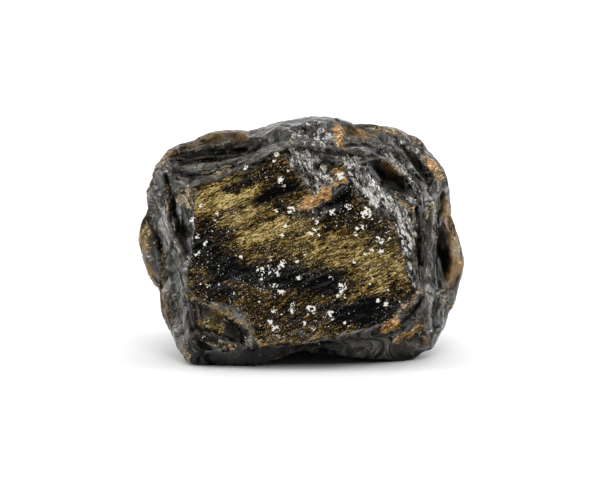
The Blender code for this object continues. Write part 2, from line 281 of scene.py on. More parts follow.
# Bands of the sheen face, brighter with a plus and darker with a minus
SHEEN_STROKES = strokes(
    # Upper left: three bright bands that rise to the right, with dark ones between them
    (1.6, 0.38, (-15.8, 6.9), (-9.3, 9.8)),
    (1.4, 0.18, (-21.4, 9.0), (-15.8, 11.6)),
    (2.0, 0.15, (-21.4, 6.8), (-16.0, 8.0)),
    (0.9, -0.30, (-14.6, 10.0), (-10.2, 11.6)),
    (2.0, -0.17, (-10.0, 13.4), (-5.0, 13.8)),
    (0.8, -0.38, (-16.2, 5.7), (-8.6, 8.4), (-1.4, 11.4)),
    (1.6, -0.30, (-7.6, 9.0), (-1.4, 11.2)),
    (1.3, 0.26, (-16.4, 3.8), (-10.0, 6.4)),
    (1.1, 0.12, (-10.0, 6.4), (-5.0, 8.2)),
    (1.5, 0.35, (-10.8, 0.3), (-4.3, 3.5)),
    (1.6, 0.11, (-4.3, 3.5), (0.5, 5.0)),
    (1.0, -0.30, (-5.2, 7.4), (-2.8, 6.0)),
    # Dark patches at the left edge and across the middle
    (3.0, -0.35, (-22.0, 2.2), (-17.6, 1.6)),
    (2.6, -0.32, (-21.4, -2.5), (-15.0, -4.6)),
    (2.7, -0.38, (-15.4, -6.6), (-6.0, -7.6)),
    (2.9, -0.35, (-5.0, -6.6), (6.6, -8.2)),
    # Middle and right: the broad golden field and its dark neighbour above
    (2.2, -0.03, (-11.6, -0.8), (-1.0, -1.0)),
    (3.2, 0.24, (1.6, -1.2), (9.0, -2.6), (18.6, -6.4)),
    (2.8, -0.30, (3.0, 5.8), (15.0, 4.6)),
    (1.8, -0.12, (15.6, 0.6), (19.6, -0.6)),
    (1.8, -0.52, (5.6, 7.8), (10.2, 11.0)),
    (1.6, -0.15, (13.6, 12.6), (16.0, 8.6)),
    # Lower part: thin golden lines that sag like a smile, and dark glass between
    (0.8, 0.27, (-19.6, -6.0), (-14.0, -8.0), (-6.8, -10.5)),
    (1.2, -0.15, (-20.6, -8.8), (-15.0, -10.6)),
    (0.4, 0.30, (6.4, -11.1), (10.0, -9.6)),
    (0.4, 0.32, (7.6, -12.6), (11.0, -10.5), (16.4, -9.2)),
    (2.0, -0.30, (7.5, -14.0), (16.0, -14.5)),
    (0.8, -0.35, (11.8, -11.4), (15.4, -11.8)),
    (1.6, -0.27, (19.0, -9.0), (19.6, -13.5)),
    # The lower third is darker on the whole
    (3.6, -0.19, (-20.0, -10.0), (-10.0, -14.0), (2.0, -15.0), (16.0, -14.0)),
    (3.2, -0.07, (3.6, -1.4), (10.0, -2.8), (18.6, -6.4)),
    (2.4, -0.07, (-12.0, 13.0), (-3.0, 14.0)),
    (2.6, -0.06, (-20.0, -3.0), (-8.0, -6.6), (4.0, -7.4)),
)
# Gold in the hollow at the lower left
HOLLOW_STROKES = strokes(
    (1.0, 0.66, (-19.8, -15.8), (-15.6, -17.2)),
)
# Browner gold, at the bottom of the face and near its upper edge
WARM_STROKES = strokes(
    (3.4, 0.8, (-20.0, -9.0), (-9.0, -14.0), (4.0, -17.0)),
    (2.6, 0.6, (-10.0, 15.0), (-3.0, 14.0)),
    (2.4, 0.7, (6.0, 11.0), (15.0, 8.0)),
    (1.6, 0.7, (4.0, 15.6), (10.0, 15.6)),
    (2.0, 0.6, (12.0, -16.0), (18.0, -14.0)),
)
# Splintered, pale glass, whose shards get painted highlight and painted shade
SPLINTER_STROKES = strokes(
    (2.5, 1.0, (0.2, 16.4), (3.6, 12.0)),
    (1.2, 0.6, (-2.4, 17.4), (0.6, 16.0)),
    (1.7, 1.0, (9.6, 15.8), (11.4, 12.4), (14.6, 8.4), (19.2, 6.4), (21.3, 0.8)),
    (0.9, 0.7, (12.4, 13.4), (17.0, 8.6)),
    (1.1, 0.95, (16.6, 16.9), (19.8, 14.7)),
    (0.8, 0.7, (19.8, 14.7), (23.0, 9.8)),
    (0.6, 0.9, (-1.6, 20.4), (0.4, 22.6)),
    (0.5, 0.9, (0.6, 20.0), (2.0, 22.8)),
    (0.6, 1.0, (2.4, 19.6), (3.8, 22.4)),
    (0.8, 1.1, (4.2, 19.4), (5.8, 21.8)),
    (0.4, 0.7, (-0.6, 23.4), (3.4, 23.8)),
    (1.0, 0.7, (19.6, 19.6), (22.6, 18.2)),
    (1.0, 0.55, (-0.2, 6.4), (4.2, 6.2)),
    (0.9, 0.7, (20.4, -1.0), (21.8, -8.0)),
    (1.3, 0.6, (18.6, 6.2), (20.6, 3.4), (21.0, -1.6)),
    (1.1, 0.5, (1.4, 15.0), (4.4, 12.4)),
    (0.9, 0.4, (11.6, 10.8), (15.6, 7.8)),
    (0.35, 1.0, (18.8, 9.8), (23.0, 7.7)),
)
# Tan and orange deposits
STAIN_STROKES = strokes(
    (0.7, 1.1, (-0.4, 7.0), (2.0, 7.9)),
    (1.25, 1.2, (1.4, 7.9), (4.8, 9.2)),
    (0.8, 0.8, (4.4, 10.6), (7.8, 11.8)),
    (0.8, 0.8, (18.4, 8.7), (21.6, 6.5)),
    (0.7, 0.85, (24.4, 16.8), (26.2, 15.4)),
    (0.8, 0.95, (25.8, 15.2), (27.4, 12.8)),
    (0.7, 0.85, (6.4, 23.8), (7.4, 21.6)),
    (1.0, 1.05, (7.0, 21.6), (7.6, 19.2)),
    (0.6, 0.9, (-22.8, 10.6), (-22.5, 6.8)),
    (0.5, 0.8, (-19.6, 13.6), (-19.0, 14.6)),
    (0.55, 0.8, (-17.4, 13.3), (-14.8, 14.6)),
    (0.6, 0.8, (-24.4, 9.8), (-24.0, 7.6)),
    (0.7, 0.75, (-22.6, -10.8), (-16.8, -12.7), (-10.4, -17.4), (-8.0, -20.2)),
    (0.8, 0.75, (-17.6, -20.2), (-13.4, -21.0)),
    (0.9, 0.8, (-23.4, -21.4), (-22.6, -23.2)),
    (0.6, 0.8, (2.0, -18.8), (3.6, -18.6)),
    (0.5, 0.7, (-8.0, -20.4), (2.0, -19.6)),
    (0.4, 0.65, (5.0, -18.8), (10.0, -17.8)),
    (0.6, 0.85, (23.2, -9.6), (20.4, -12.6), (18.4, -15.0), (16.2, -17.8)),
    (1.0, 1.1, (16.6, -17.0), (18.8, -16.2)),
    (0.8, 1.0, (18.4, -19.6), (20.8, -18.4)),
    (0.8, 1.0, (22.2, -18.2), (23.2, -16.6)),
    (0.5, 0.8, (25.4, 7.4), (25.0, 5.0)),
    (0.6, 0.85, (28.6, -12.0), (30.0, -13.4)),
    (0.3, 0.8, (-27.0, 11.2), (-26.8, 6.4)),
    (0.8, 0.6, (-31.4, 3.0), (-30.6, -2.8)),
    (0.5, 0.7, (-27.8, -1.6), (-27.6, -7.6)),
    (0.6, 0.7, (14.6, 22.8), (18.6, 22.0)),
    (0.6, 0.6, (-2.0, 20.4), (-0.6, 17.6)),
    (0.7, 0.8, (7.2, 13.8), (8.2, 12.0)),
    (0.5, 0.55, (-6.4, 24.2), (3.6, 25.8), (9.4, 25.4)),
    (0.4, 0.55, (-28.0, 15.4), (-24.4, 18.4)),
    (0.5, 0.6, (22.0, 21.0), (26.6, 17.4), (28.6, 12.6)),
    (0.5, 0.6, (29.4, 7.6), (31.4, 1.0), (31.4, -4.6)),
    (0.5, 0.6, (3.6, 15.0), (8.6, 13.4)),
)
# Thin edges that let brown light through
RIM_STROKES = strokes(
    (1.8, 1.0, (-27.0, 19.0), (-19.6, 21.6), (-14.6, 22.2), (-12.0, 21.8)),
    (0.9, 0.8, (-30.8, 12.0), (-27.8, 17.6)),
    (1.5, 0.9, (8.6, 21.6), (13.4, 21.8)),
    (1.1, 0.85, (28.4, 8.4), (31.2, -4.0)),
    (1.2, 0.9, (30.8, -5.0), (29.8, -8.8)),
    (1.6, 1.0, (-32.2, 5.2), (-31.6, -0.4)),
    (1.0, 0.8, (-31.2, -5.0), (-29.2, -8.4)),
    (1.1, 0.75, (-28.4, -10.0), (-27.6, -15.0), (-26.6, -18.0)),
    (1.2, 0.6, (17.0, 15.4), (19.4, 13.2)),
    (1.2, 0.6, (-20.4, -13.8), (-16.0, -14.2)),
    (0.8, 0.8, (23.6, -15.0), (24.6, -20.0)),
    (0.9, 0.5, (14.0, 23.6), (24.0, 20.0)),
)
# Pale crystal flecks on the face, partly painted glints, as u, v and half size
CRYSTALS_AND_GLINTS = (
    (12.6, 5.8, 0.80), (9.2, 7.1, 0.50), (6.0, 6.0, 0.52), (3.1, 3.9, 0.36), (2.4, 2.5, 0.46),
    (1.6, 1.6, 0.38), (3.4, 1.3, 0.30), (10.8, 2.6, 0.36), (12.2, 3.0, 0.42), (10.6, 1.6, 0.30),
    (15.0, 0.6, 0.36), (16.0, 0.2, 0.30), (15.6, -0.2, 0.26), (17.3, 0.6, 0.26), (15.6, -1.8, 0.44),
    (12.8, -2.4, 0.36), (13.8, -1.6, 0.28), (10.4, -4.0, 0.25), (5.8, -7.0, 0.40), (8.0, -8.8, 0.62),
    (7.6, -10.0, 0.30), (7.0, -10.6, 0.30), (8.6, -10.8, 0.28), (1.4, -13.0, 0.48),
    (2.4, -13.5, 0.52), (5.6, -14.2, 0.52), (8.4, -16.0, 0.32), (0.4, -16.2, 0.36),
    (2.2, -17.2, 0.34), (6.2, -15.2, 0.26), (-3.9, -4.3, 0.54), (-8.7, -5.4, 0.32),
    (-7.8, -5.2, 0.28), (-7.9, -6.1, 0.30), (-6.4, -5.9, 0.42), (-4.8, -6.2, 0.42),
    (-4.6, -5.0, 0.30), (-5.4, -5.3, 0.25), (-8.0, -7.1, 0.30), (-1.0, -3.9, 0.30),
    (-0.6, -7.0, 0.36), (-5.4, -8.7, 0.36), (-4.4, -10.0, 0.42), (-3.6, -9.7, 0.26),
    (-1.8, -12.4, 0.30), (-2.0, -13.5, 0.46), (-5.6, -13.6, 0.42), (-6.4, -15.9, 0.42),
    (-5.6, -16.9, 0.48), (-4.7, -17.2, 0.32), (-4.6, -18.6, 0.30), (-11.2, -18.9, 0.26),
    (-16.2, -19.6, 0.36), (-19.5, -18.8, 0.25), (-13.3, -10.2, 0.26), (-18.7, -8.7, 0.36),
    (-16.7, -5.0, 0.26), (-12.1, -3.0, 0.25), (-19.2, -0.5, 0.28), (-20.7, 1.1, 0.32),
    (-21.0, -2.5, 0.32), (-20.2, -2.0, 0.28), (-20.0, 7.2, 0.28), (-17.0, 5.6, 0.36),
    (-17.1, 4.0, 0.28), (-21.8, 4.3, 0.46), (-4.3, 12.3, 0.52), (-3.6, 11.0, 0.26),
    (-2.2, 6.3, 0.56), (-5.0, 6.2, 0.26), (-11.0, 14.7, 0.52), (-5.0, 17.2, 0.36),
    (-5.6, 16.2, 0.28), (-3.2, 3.2, 0.25), (-3.8, 1.4, 0.28), (-12.0, 0.6, 0.28),
    (7.6, 13.0, 0.56), (9.6, 15.0, 0.36), (15.1, -11.6, 0.34), (16.6, -12.3, 0.36),
    (4.2, 14.2, 0.70), (4.4, 13.0, 0.60),
)
# Stepped ledges of broken layers
LEDGE_STROKES = strokes(
    (3.4, 1.0, (-26.0, 16.6), (-18.0, 17.4), (-12.0, 15.6)),
    (1.6, 0.7, (-23.0, 14.0), (-12.0, 14.2), (-5.0, 17.8)),
)
# Painted shade in deep places that light hardly reaches
RECESS_SHADE_STROKES = strokes(
    (2.1, 1.0, (14.6, 15.4), (17.0, 13.0), (19.6, 10.6)),
    (0.8, 0.8, (-27.2, 12.8), (-26.0, 7.4), (-24.4, 2.4), (-23.4, -1.6)),
    (1.1, 0.8, (-29.4, 0.4), (-28.7, -5.0)),
    (0.9, 1.0, (-25.2, 14.0), (-21.0, 13.2)),
    (0.6, 0.8, (-24.0, 15.8), (-14.0, 17.0), (-7.0, 19.4)),
    (0.5, 1.0, (-26.0, 17.0), (-18.0, 17.9), (-11.0, 18.4)),
    (0.9, 0.7, (-23.6, 16.6), (-15.0, 17.4)),
    (0.3, 0.7, (-19.6, 13.2), (-13.0, 14.9)),
    (0.6, 1.0, (23.2, 10.8), (22.8, 6.4), (22.6, -0.6), (23.2, -4.4)),
    (1.3, 1.0, (27.6, 1.6), (28.3, -2.6), (28.0, -7.2)),
    (0.35, 0.8, (25.6, 0.6), (25.0, -5.0)),
    (1.2, 0.7, (5.6, 7.4), (9.4, 10.2)),
    (0.9, 0.9, (-14.4, -16.6), (-12.8, -19.0)),
    (0.6, 0.9, (8.0, 19.0), (12.0, 19.4), (16.4, 17.8)),
    (0.45, 0.9, (18.4, 21.0), (22.2, 15.8), (25.2, 11.2)),
    (0.45, 0.9, (23.8, -11.2), (22.2, -13.6), (20.0, -15.8), (17.6, -18.0)),
    (0.4, 0.8, (24.6, -14.4), (23.2, -17.4), (21.4, -19.6)),
    (0.5, 0.9, (1.2, 13.6), (1.9, 12.0)),
    (1.8, 0.6, (-1.4, 21.2), (5.6, 21.2)),
)
# Where rings of broken glass start on the far side: x, y, z and the length of one ring
RIPPLE_CENTRES = (
    (-24.0, 18.0, 34.0, 2.6), (4.0, 20.0, 44.0, 3.0), (26.0, 12.0, 30.0, 2.4),
    (-6.0, 22.0, 6.0, 2.8), (20.0, 18.0, 8.0, 2.6), (-30.0, 4.0, 12.0, 2.2),
    (6.0, 22.0, 26.0, 3.2), (31.0, -2.0, 14.0, 2.3),
)

# The flat face where the golden layers show, as u and v
SHEEN_FACE = (
    (-23.2, 9.2), (-20.0, 11.2), (-17.0, 11.9), (-13.0, 13.6), (-8.0, 15.4), (-4.6, 17.8),
    (-1.0, 17.0), (0.2, 13.0), (2.4, 10.4), (5.8, 12.8), (6.0, 15.6), (10.6, 16.0), (12.0, 12.2),
    (14.6, 8.6), (19.4, 6.4), (20.8, 1.0), (21.6, -4.0), (21.4, -9.4), (19.6, -12.6),
    (16.8, -15.4), (10.0, -18.0), (3.0, -19.0), (-8.0, -20.2), (-9.8, -17.0), (-12.6, -13.8),
    (-16.6, -12.0), (-22.4, -10.6), (-23.0, -1.0),
)
# How far the outline steps out or in, as an angle in degrees and a length. The angles were picked
# by hand, and a scratch script measured the lengths against the outline in the photo.
OUTLINE_STEPS = (
    (0, 0.2), (6, 0.1), (10, -0.55), (14, -0.15), (20, 0.25), (28, 0.15), (36, -0.4), (40, -0.15),
    (46, -0.2), (50, 0.0), (56, -0.45), (58, -0.15), (62, -0.4), (66, -0.85), (70, -0.35),
    (76, -0.1), (86, 0.15), (92, -0.15), (100, -0.3), (104, -0.5), (108, -1.0), (112, -1.25),
    (116, -1.4), (118, -0.95), (122, -0.75), (130, -0.35), (133, -0.6), (136, -1.0), (140, -0.75),
    (146, -0.25), (152, -0.2), (158, -0.25), (162, 0.25), (164, -0.05), (168, -0.6), (172, 0.0),
    (176, 0.25), (182, 0.35), (188, 0.4), (194, 0.05), (198, -0.2), (202, 0.1), (210, 0.35),
    (214, -0.05), (220, 0.1), (226, -0.4), (230, -1.05), (232, -0.5), (236, -0.1), (242, 0.0),
    (248, -0.65), (250, -0.25), (256, -0.55), (264, -0.7), (268, -0.75), (274, -0.35),
    (282, -0.15), (286, 0.05), (292, 0.3), (298, 0.45), (304, 0.35), (308, -0.05), (312, -0.25),
    (316, -0.8), (318, -0.3), (320, 0.1), (324, -0.15), (330, 0.4), (334, 0.05), (338, 0.35),
    (344, 0.1), (350, 0.35), (354, 0.3), (360, 0.2),
)

# Ridges, with a plus, and grooves, with a minus, that the blows left between the scars
CREASES = strokes(
    # Left side
    (1.0, 0.45, (-22.6, -9.6), (-23.2, -4.6), (-24.8, 0.0), (-26.8, 3.4), (-28.0, 6.8), (-30.4, 11.2)),
    (1.3, -0.60, (-27.2, 12.8), (-26.0, 7.4), (-24.4, 2.4), (-23.2, -1.6)),
    (0.5, -0.40, (-26.2, -2.4), (-24.8, -5.2), (-23.2, -8.6), (-22.4, -10.8)),
    (0.9, -0.45, (-31.0, 4.4), (-28.8, 0.4), (-27.4, -3.2), (-28.0, -7.2), (-28.4, -10.6)),
    (0.9, 0.35, (-31.8, 0.8), (-30.2, 4.2)),
    (0.45, -0.20, (-29.8, 8.8), (-27.6, 4.0), (-25.6, -1.0), (-23.8, -6.0)),
    (0.40, 0.18, (-24.8, -5.0), (-27.0, 1.0), (-29.6, 6.4)),
    (0.7, 0.28, (-24.6, -20.0), (-26.0, -14.0), (-27.6, -8.0)),
    (0.6, -0.22, (-25.6, -8.4), (-24.4, -14.0), (-23.6, -19.0)),
    (0.6, 0.35, (-29.4, 13.4), (-27.0, 15.4), (-24.0, 14.6)),
    # Ledges at the upper left
    (0.8, 0.42, (-23.4, 14.2), (-13.2, 15.8), (-5.0, 18.6)),
    (0.8, -0.42, (-24.0, 15.8), (-14.0, 17.0), (-7.0, 19.4)),
    (0.6, 0.36, (-22.4, 11.0), (-14.6, 13.8), (-7.2, 17.2), (-2.6, 19.0)),
    (0.55, -0.36, (-22.0, 12.7), (-14.0, 14.8), (-6.6, 17.9)),
    (0.5, -0.36, (-26.0, 17.0), (-18.0, 17.9), (-11.0, 18.4)),
    (0.6, 0.34, (-25.0, 18.2), (-17.0, 19.0), (-11.0, 20.0)),
    (0.5, -0.25, (-23.0, 19.8), (-16.0, 20.4)),
    (0.3, 0.16, (-25.0, 16.4), (-19.0, 16.9), (-13.0, 17.4)),
    (0.3, 0.16, (-24.0, 17.4), (-17.0, 18.2), (-12.0, 19.0)),
    (0.3, 0.16, (-23.4, 15.2), (-18.0, 15.6), (-12.6, 16.6)),
    (0.3, 0.16, (-21.0, 19.2), (-15.0, 19.6), (-11.6, 20.6)),
    # Top
    (0.5, 0.22, (-12.4, 16.8), (-8.0, 20.4), (-3.8, 23.2)),
    (0.5, -0.20, (-10.6, 16.8), (-6.4, 20.2), (-2.8, 22.4)),
    (0.5, -0.18, (-14.0, 18.6), (-10.6, 21.2), (-7.6, 22.8)),
    (1.0, -0.50, (-1.4, 18.3), (4.4, 17.5), (9.8, 16.9), (13.0, 17.3)),
    (0.45, 0.32, (-2.0, 19.4), (4.0, 18.7), (10.0, 18.1), (13.0, 18.3)),
    (0.45, 0.34, (-1.0, 17.1), (5.0, 16.4), (10.0, 15.8), (13.0, 16.2)),
    (0.7, 0.45, (6.4, 19.6), (11.0, 20.6), (17.0, 18.6)),
    (0.6, -0.40, (8.0, 19.0), (12.0, 19.4), (16.4, 17.8)),
    (0.7, 0.35, (6.6, 24.2), (7.8, 19.6)),
    # Upper right
    (0.6, 0.38, (16.6, 21.4), (20.6, 16.6), (24.6, 11.6)),
    (0.6, -0.40, (18.4, 21.0), (22.2, 15.8), (25.2, 11.2)),
    (0.5, 0.30, (19.8, 21.4), (23.6, 16.6), (26.0, 12.6)),
    (0.5, -0.30, (15.4, 20.6), (19.4, 16.0), (23.4, 11.0)),
    (0.6, 0.42, (13.0, 16.4), (16.6, 16.8), (19.8, 14.4), (21.8, 11.8), (23.2, 8.2)),
    (0.45, 0.34, (17.4, 10.2), (20.4, 9.2), (23.0, 7.4)),
    (0.6, 0.30, (10.8, 15.8), (11.6, 12.4), (13.0, 10.4), (17.0, 7.2), (20.2, 6.2), (21.8, 3.0)),
    # Right side
    (0.75, -0.70, (23.2, 10.8), (22.8, 6.4), (22.6, -0.6), (23.2, -4.4)),
    (0.7, 0.55, (27.0, 12.0), (26.0, 6.8), (25.3, 2.4), (24.8, -2.4), (24.3, -6.2), (24.2, -10.0),
     (25.0, -13.8), (25.8, -17.6)),
    (0.45, 0.38, (22.2, 8.4), (21.9, 1.4), (22.2, -5.8), (23.4, -9.6)),
    (0.35, 0.22, (24.4, 9.0), (24.0, 2.0), (23.7, -4.0)),
    (0.9, -0.50, (28.2, 10.0), (27.0, 3.4), (26.4, -2.0), (25.8, -6.4)),
    (0.5, 0.36, (26.8, -10.4), (28.4, -9.3), (30.0, -10.2), (29.6, -12.8)),
    (0.5, 0.32, (27.9, -10.8), (27.1, -13.8), (27.5, -17.0)),
    (0.5, -0.36, (26.3, -11.0), (26.0, -14.4), (26.6, -18.0)),
    (0.5, -0.30, (28.8, -11.2), (28.3, -14.6)),
    # Fan of ridges at the lower right
    (0.5, 0.36, (23.2, -10.0), (21.8, -12.2), (19.2, -14.4), (16.8, -16.2), (11.0, -17.8), (7.4, -18.6)),
    (0.5, -0.42, (23.8, -11.2), (22.2, -13.6), (20.0, -15.8), (17.6, -18.0)),
    (0.45, 0.36, (24.2, -12.4), (22.7, -15.2), (20.7, -17.6)),
    (0.5, -0.36, (24.6, -14.4), (23.2, -17.4), (21.4, -19.6)),
    (0.5, 0.25, (20.6, -20.2), (25.6, -21.2)),
    # Hollow at the lower left
    (0.5, 0.36, (-22.0, -11.0), (-17.6, -12.6)),
    (1.0, 0.55, (-17.6, -13.0), (-13.8, -13.8), (-11.6, -15.4), (-10.0, -17.6), (-10.2, -20.4)),
    (0.8, -0.45, (-16.8, -14.8), (-13.6, -15.6), (-12.0, -18.0), (-12.2, -20.2)),
    (0.35, 0.26, (-20.6, -13.6), (-20.2, -14.8), (-19.0, -15.2), (-17.0, -14.8)),
    (0.4, -0.26, (-20.0, -13.4), (-17.8, -13.8)),
    (0.45, 0.24, (-21.4, -18.0), (-18.0, -18.2), (-15.4, -19.6)),
    (0.45, -0.22, (-21.6, -19.2), (-18.0, -19.6), (-15.0, -20.8)),
    # Torn edge of the chip in the face
    (0.35, 0.25, (4.8, 8.2), (8.2, 11.0)),
    (1.2, -0.14, (5.6, 7.2), (9.4, 10.2)),
)
# Dull grey film on the glass with painted reflection of the lights in it, lighter with a plus and clear
# with a minus
FILM_AND_REFLECTION_STROKES = strokes(
    (1.5, 0.75, (-30.0, 9.6), (-28.0, 4.6), (-25.6, -0.6), (-23.6, -6.4), (-22.6, -9.6)),
    (1.3, -0.60, (-26.6, 12.0), (-25.2, 6.0), (-23.8, 0.0)),
    (1.8, 0.35, (-26.6, -7.4), (-25.0, -14.0), (-24.0, -20.0)),
    (1.2, -0.50, (-29.6, -0.6), (-29.0, -4.6)),
    (0.5, 0.5, (-28.2, 13.8), (-24.0, 14.6)),
    (0.55, 0.70, (-23.4, 14.2), (-13.2, 15.8), (-5.0, 18.6)),
    (0.45, 0.60, (-22.4, 11.0), (-14.6, 13.8), (-7.2, 17.2)),
    (0.45, 0.35, (-25.0, 18.2), (-17.0, 19.0), (-11.0, 20.0)),
    (0.6, -0.60, (-22.0, 12.7), (-14.0, 14.8), (-6.6, 17.9)),
    (0.8, -0.60, (-24.0, 15.8), (-14.0, 17.0), (-9.0, 18.8)),
    (0.6, -0.60, (-26.0, 17.0), (-18.0, 17.9), (-12.0, 18.4)),
    (1.8, 0.65, (-11.0, 19.4), (-5.4, 22.0)),
    (1.8, -0.60, (-1.4, 21.2), (5.6, 21.2)),
    (0.8, 0.35, (-1.4, 18.3), (4.4, 17.5), (9.8, 16.9), (13.0, 17.3)),
    (2.0, -0.70, (14.6, 15.0), (17.0, 12.0), (20.4, 9.6)),
    (1.2, 0.2, (14.0, 20.4), (18.0, 17.6)),
    (0.6, 0.75, (27.0, 12.0), (26.0, 6.8), (25.3, 2.4), (24.8, -2.4), (24.3, -6.2), (24.4, -12.0)),
    (1.0, 0.45, (25.0, -7.0), (25.0, -16.0)),
    (0.8, -0.60, (23.2, 10.8), (22.8, 6.4), (22.6, -0.6), (23.2, -4.4)),
    (1.3, -0.60, (28.0, 0.0), (28.2, -7.0)),
    (1.4, 0.5, (8.0, -21.0), (22.0, -20.6)),
    (1.0, -0.4, (-17.0, -22.6), (-6.0, -22.6)),
    (0.8, 0.65, (-17.6, -13.0), (-13.8, -13.8), (-11.6, -15.4), (-10.2, -17.6)),
    (0.8, 0.30, (-21.0, -18.0), (-15.0, -19.6)),
    (1.0, -0.60, (-14.4, -16.6), (-12.8, -19.0)),
    (1.4, -0.50, (5.0, 8.4), (9.0, 9.6)),
    (0.9, 0.5, (-0.2, 6.4), (4.2, 6.2)),
)


@dataclass
class Skin:
    """The fine mesh of the stone as arrays, in millimetres."""

    points: np.ndarray
    faces: list[tuple[int, ...]]
    edges: np.ndarray = field(init=False)
    corners: np.ndarray = field(init=False)
    following: np.ndarray = field(init=False)
    owners: np.ndarray = field(init=False)

    def __post_init__(self) -> None:
        """Work out which points each face has, and which points each edge joins."""
        self.corners = np.array([c for face in self.faces for c in face])
        counts = np.array([len(face) for face in self.faces])
        self.owners = np.repeat(np.arange(len(self.faces)), counts)
        self.following = np.array([c for face in self.faces for c in face[1:] + face[:1]])
        pairs = np.sort(np.stack([self.corners, self.following], axis=1), axis=1)
        self.edges = np.unique(pairs, axis=0)

    @staticmethod
    def gather(index: np.ndarray, values: np.ndarray, size: int) -> np.ndarray:
        """Add up rows of values by index.

        Args:
            index: where each row goes.
            values: the rows.
            size: how many sums there are.

        Returns:
            The sums, as rows.
        """
        columns = [np.bincount(index, values[:, i], size) for i in range(values.shape[1])]
        return np.stack(columns, axis=1)

    def centres(self) -> np.ndarray:
        """Return the middle of each face."""
        total = self.gather(self.owners, self.points[self.corners], len(self.faces))
        return total / np.bincount(self.owners)[:, None]

    def face_vectors(self) -> np.ndarray:
        """Return each face's normal, as long as twice its area.

        Returns:
            One row for each face.
        """
        middle = self.centres()[self.owners]
        cross = np.cross(self.points[self.corners] - middle, self.points[self.following] - middle)
        return self.gather(self.owners, cross, len(self.faces))

    def normals(self) -> np.ndarray:
        """Return the normal at each point."""
        vectors = self.face_vectors()[self.owners]
        return unit(self.gather(self.corners, vectors, len(self.points)))

    def blurred(self, values: np.ndarray, rounds: int) -> np.ndarray:
        """Average a value of each point with its neighbours'.

        Args:
            values: rows, one for each point.
            rounds: how many times it is averaged.

        Returns:
            The averaged rows.
        """
        a, b = self.edges.T
        degree = np.bincount(self.edges.ravel(), minlength=len(self.points))[:, None]
        for _ in range(rounds):
            total = self.gather(a, values[b], len(values)) + self.gather(b, values[a], len(values))
            values = 0.5 * values + 0.5 * total / degree
        return values

    def facing_pairs(self) -> np.ndarray:
        """Return the pairs of faces that share an edge.

        Returns:
            Rows of two face numbers.
        """
        low, high = np.minimum(self.corners, self.following), np.maximum(self.corners, self.following)
        order = np.lexsort((high, low))
        same = (low[order][1:] == low[order][:-1]) & (high[order][1:] == high[order][:-1])
        owners = self.owners[order]
        return np.stack([owners[:-1][same], owners[1:][same]], axis=1)

    def carve_crisp(self, rounds: int, keep_angle: float, steps: int) -> None:
        """Smooth the scars and keep the ridges between them sharp.

        The normals of the faces are averaged with those of similar neighbours, and the points
        then move until the faces have these normals.

        Args:
            rounds: how many times the normals are averaged.
            keep_angle: the bend in radians from which a ridge counts as one.
            steps: how many times the points move.
        """
        pairs = self.facing_pairs()
        a, b = pairs.T
        vectors = self.face_vectors()
        areas = np.linalg.norm(vectors, axis=1, keepdims=True)
        normals = vectors / areas
        for _ in range(rounds):
            bend = ((normals[a] - normals[b]) ** 2).sum(axis=1)
            share = np.exp(-bend / (2.0 * keep_angle**2))[:, None]
            total = normals * areas
            total = total + self.gather(a, share * normals[b] * areas[b], len(normals))
            total = total + self.gather(b, share * normals[a] * areas[a], len(normals))
            normals = unit(total)
        faces_at = np.bincount(self.corners, minlength=len(self.points))[:, None]
        for _ in range(steps):
            middle = self.centres()[self.owners]
            target = normals[self.owners]
            gap = ((middle - self.points[self.corners]) * target).sum(axis=1, keepdims=True)
            self.points = self.points + self.gather(self.corners, gap * target, len(self.points)) / faces_at

    def broad(self, rounds: int) -> np.ndarray:
        """Return the normals averaged over a wide patch."""
        return unit(self.blurred(self.normals(), rounds))

    def scoop(self, tree: KDTree, place: np.ndarray, outwards: np.ndarray,
              radius: float, depth: float) -> None:
        """Press the points near a place back to a shallow bowl, as a blow breaks a chip out.

        Args:
            tree: finds the points near the place.
            place: the middle of the bowl's mouth.
            outwards: the direction from which the bowl is cut, of any length.
            radius: the radius of its mouth.
            depth: how deep it is.
        """
        outwards = outwards / np.linalg.norm(outwards)
        ball = (radius**2 + depth**2) / (2.0 * depth)
        middle = place + outwards * (ball - depth)
        near = np.array([found[1] for found in tree.find_range(place, radius + 0.7)])
        offset = self.points[near] - middle
        rise = offset @ outwards
        aside = (offset**2).sum(axis=1) - rise**2
        bowl = -np.sqrt(np.maximum(ball**2 - aside, 0.0))
        cut = np.clip(bowl - rise, -3.0 * depth, 0.0)
        cut[aside > 1.5 * radius**2] = 0.0
        self.points[near] += outwards * cut[:, None]


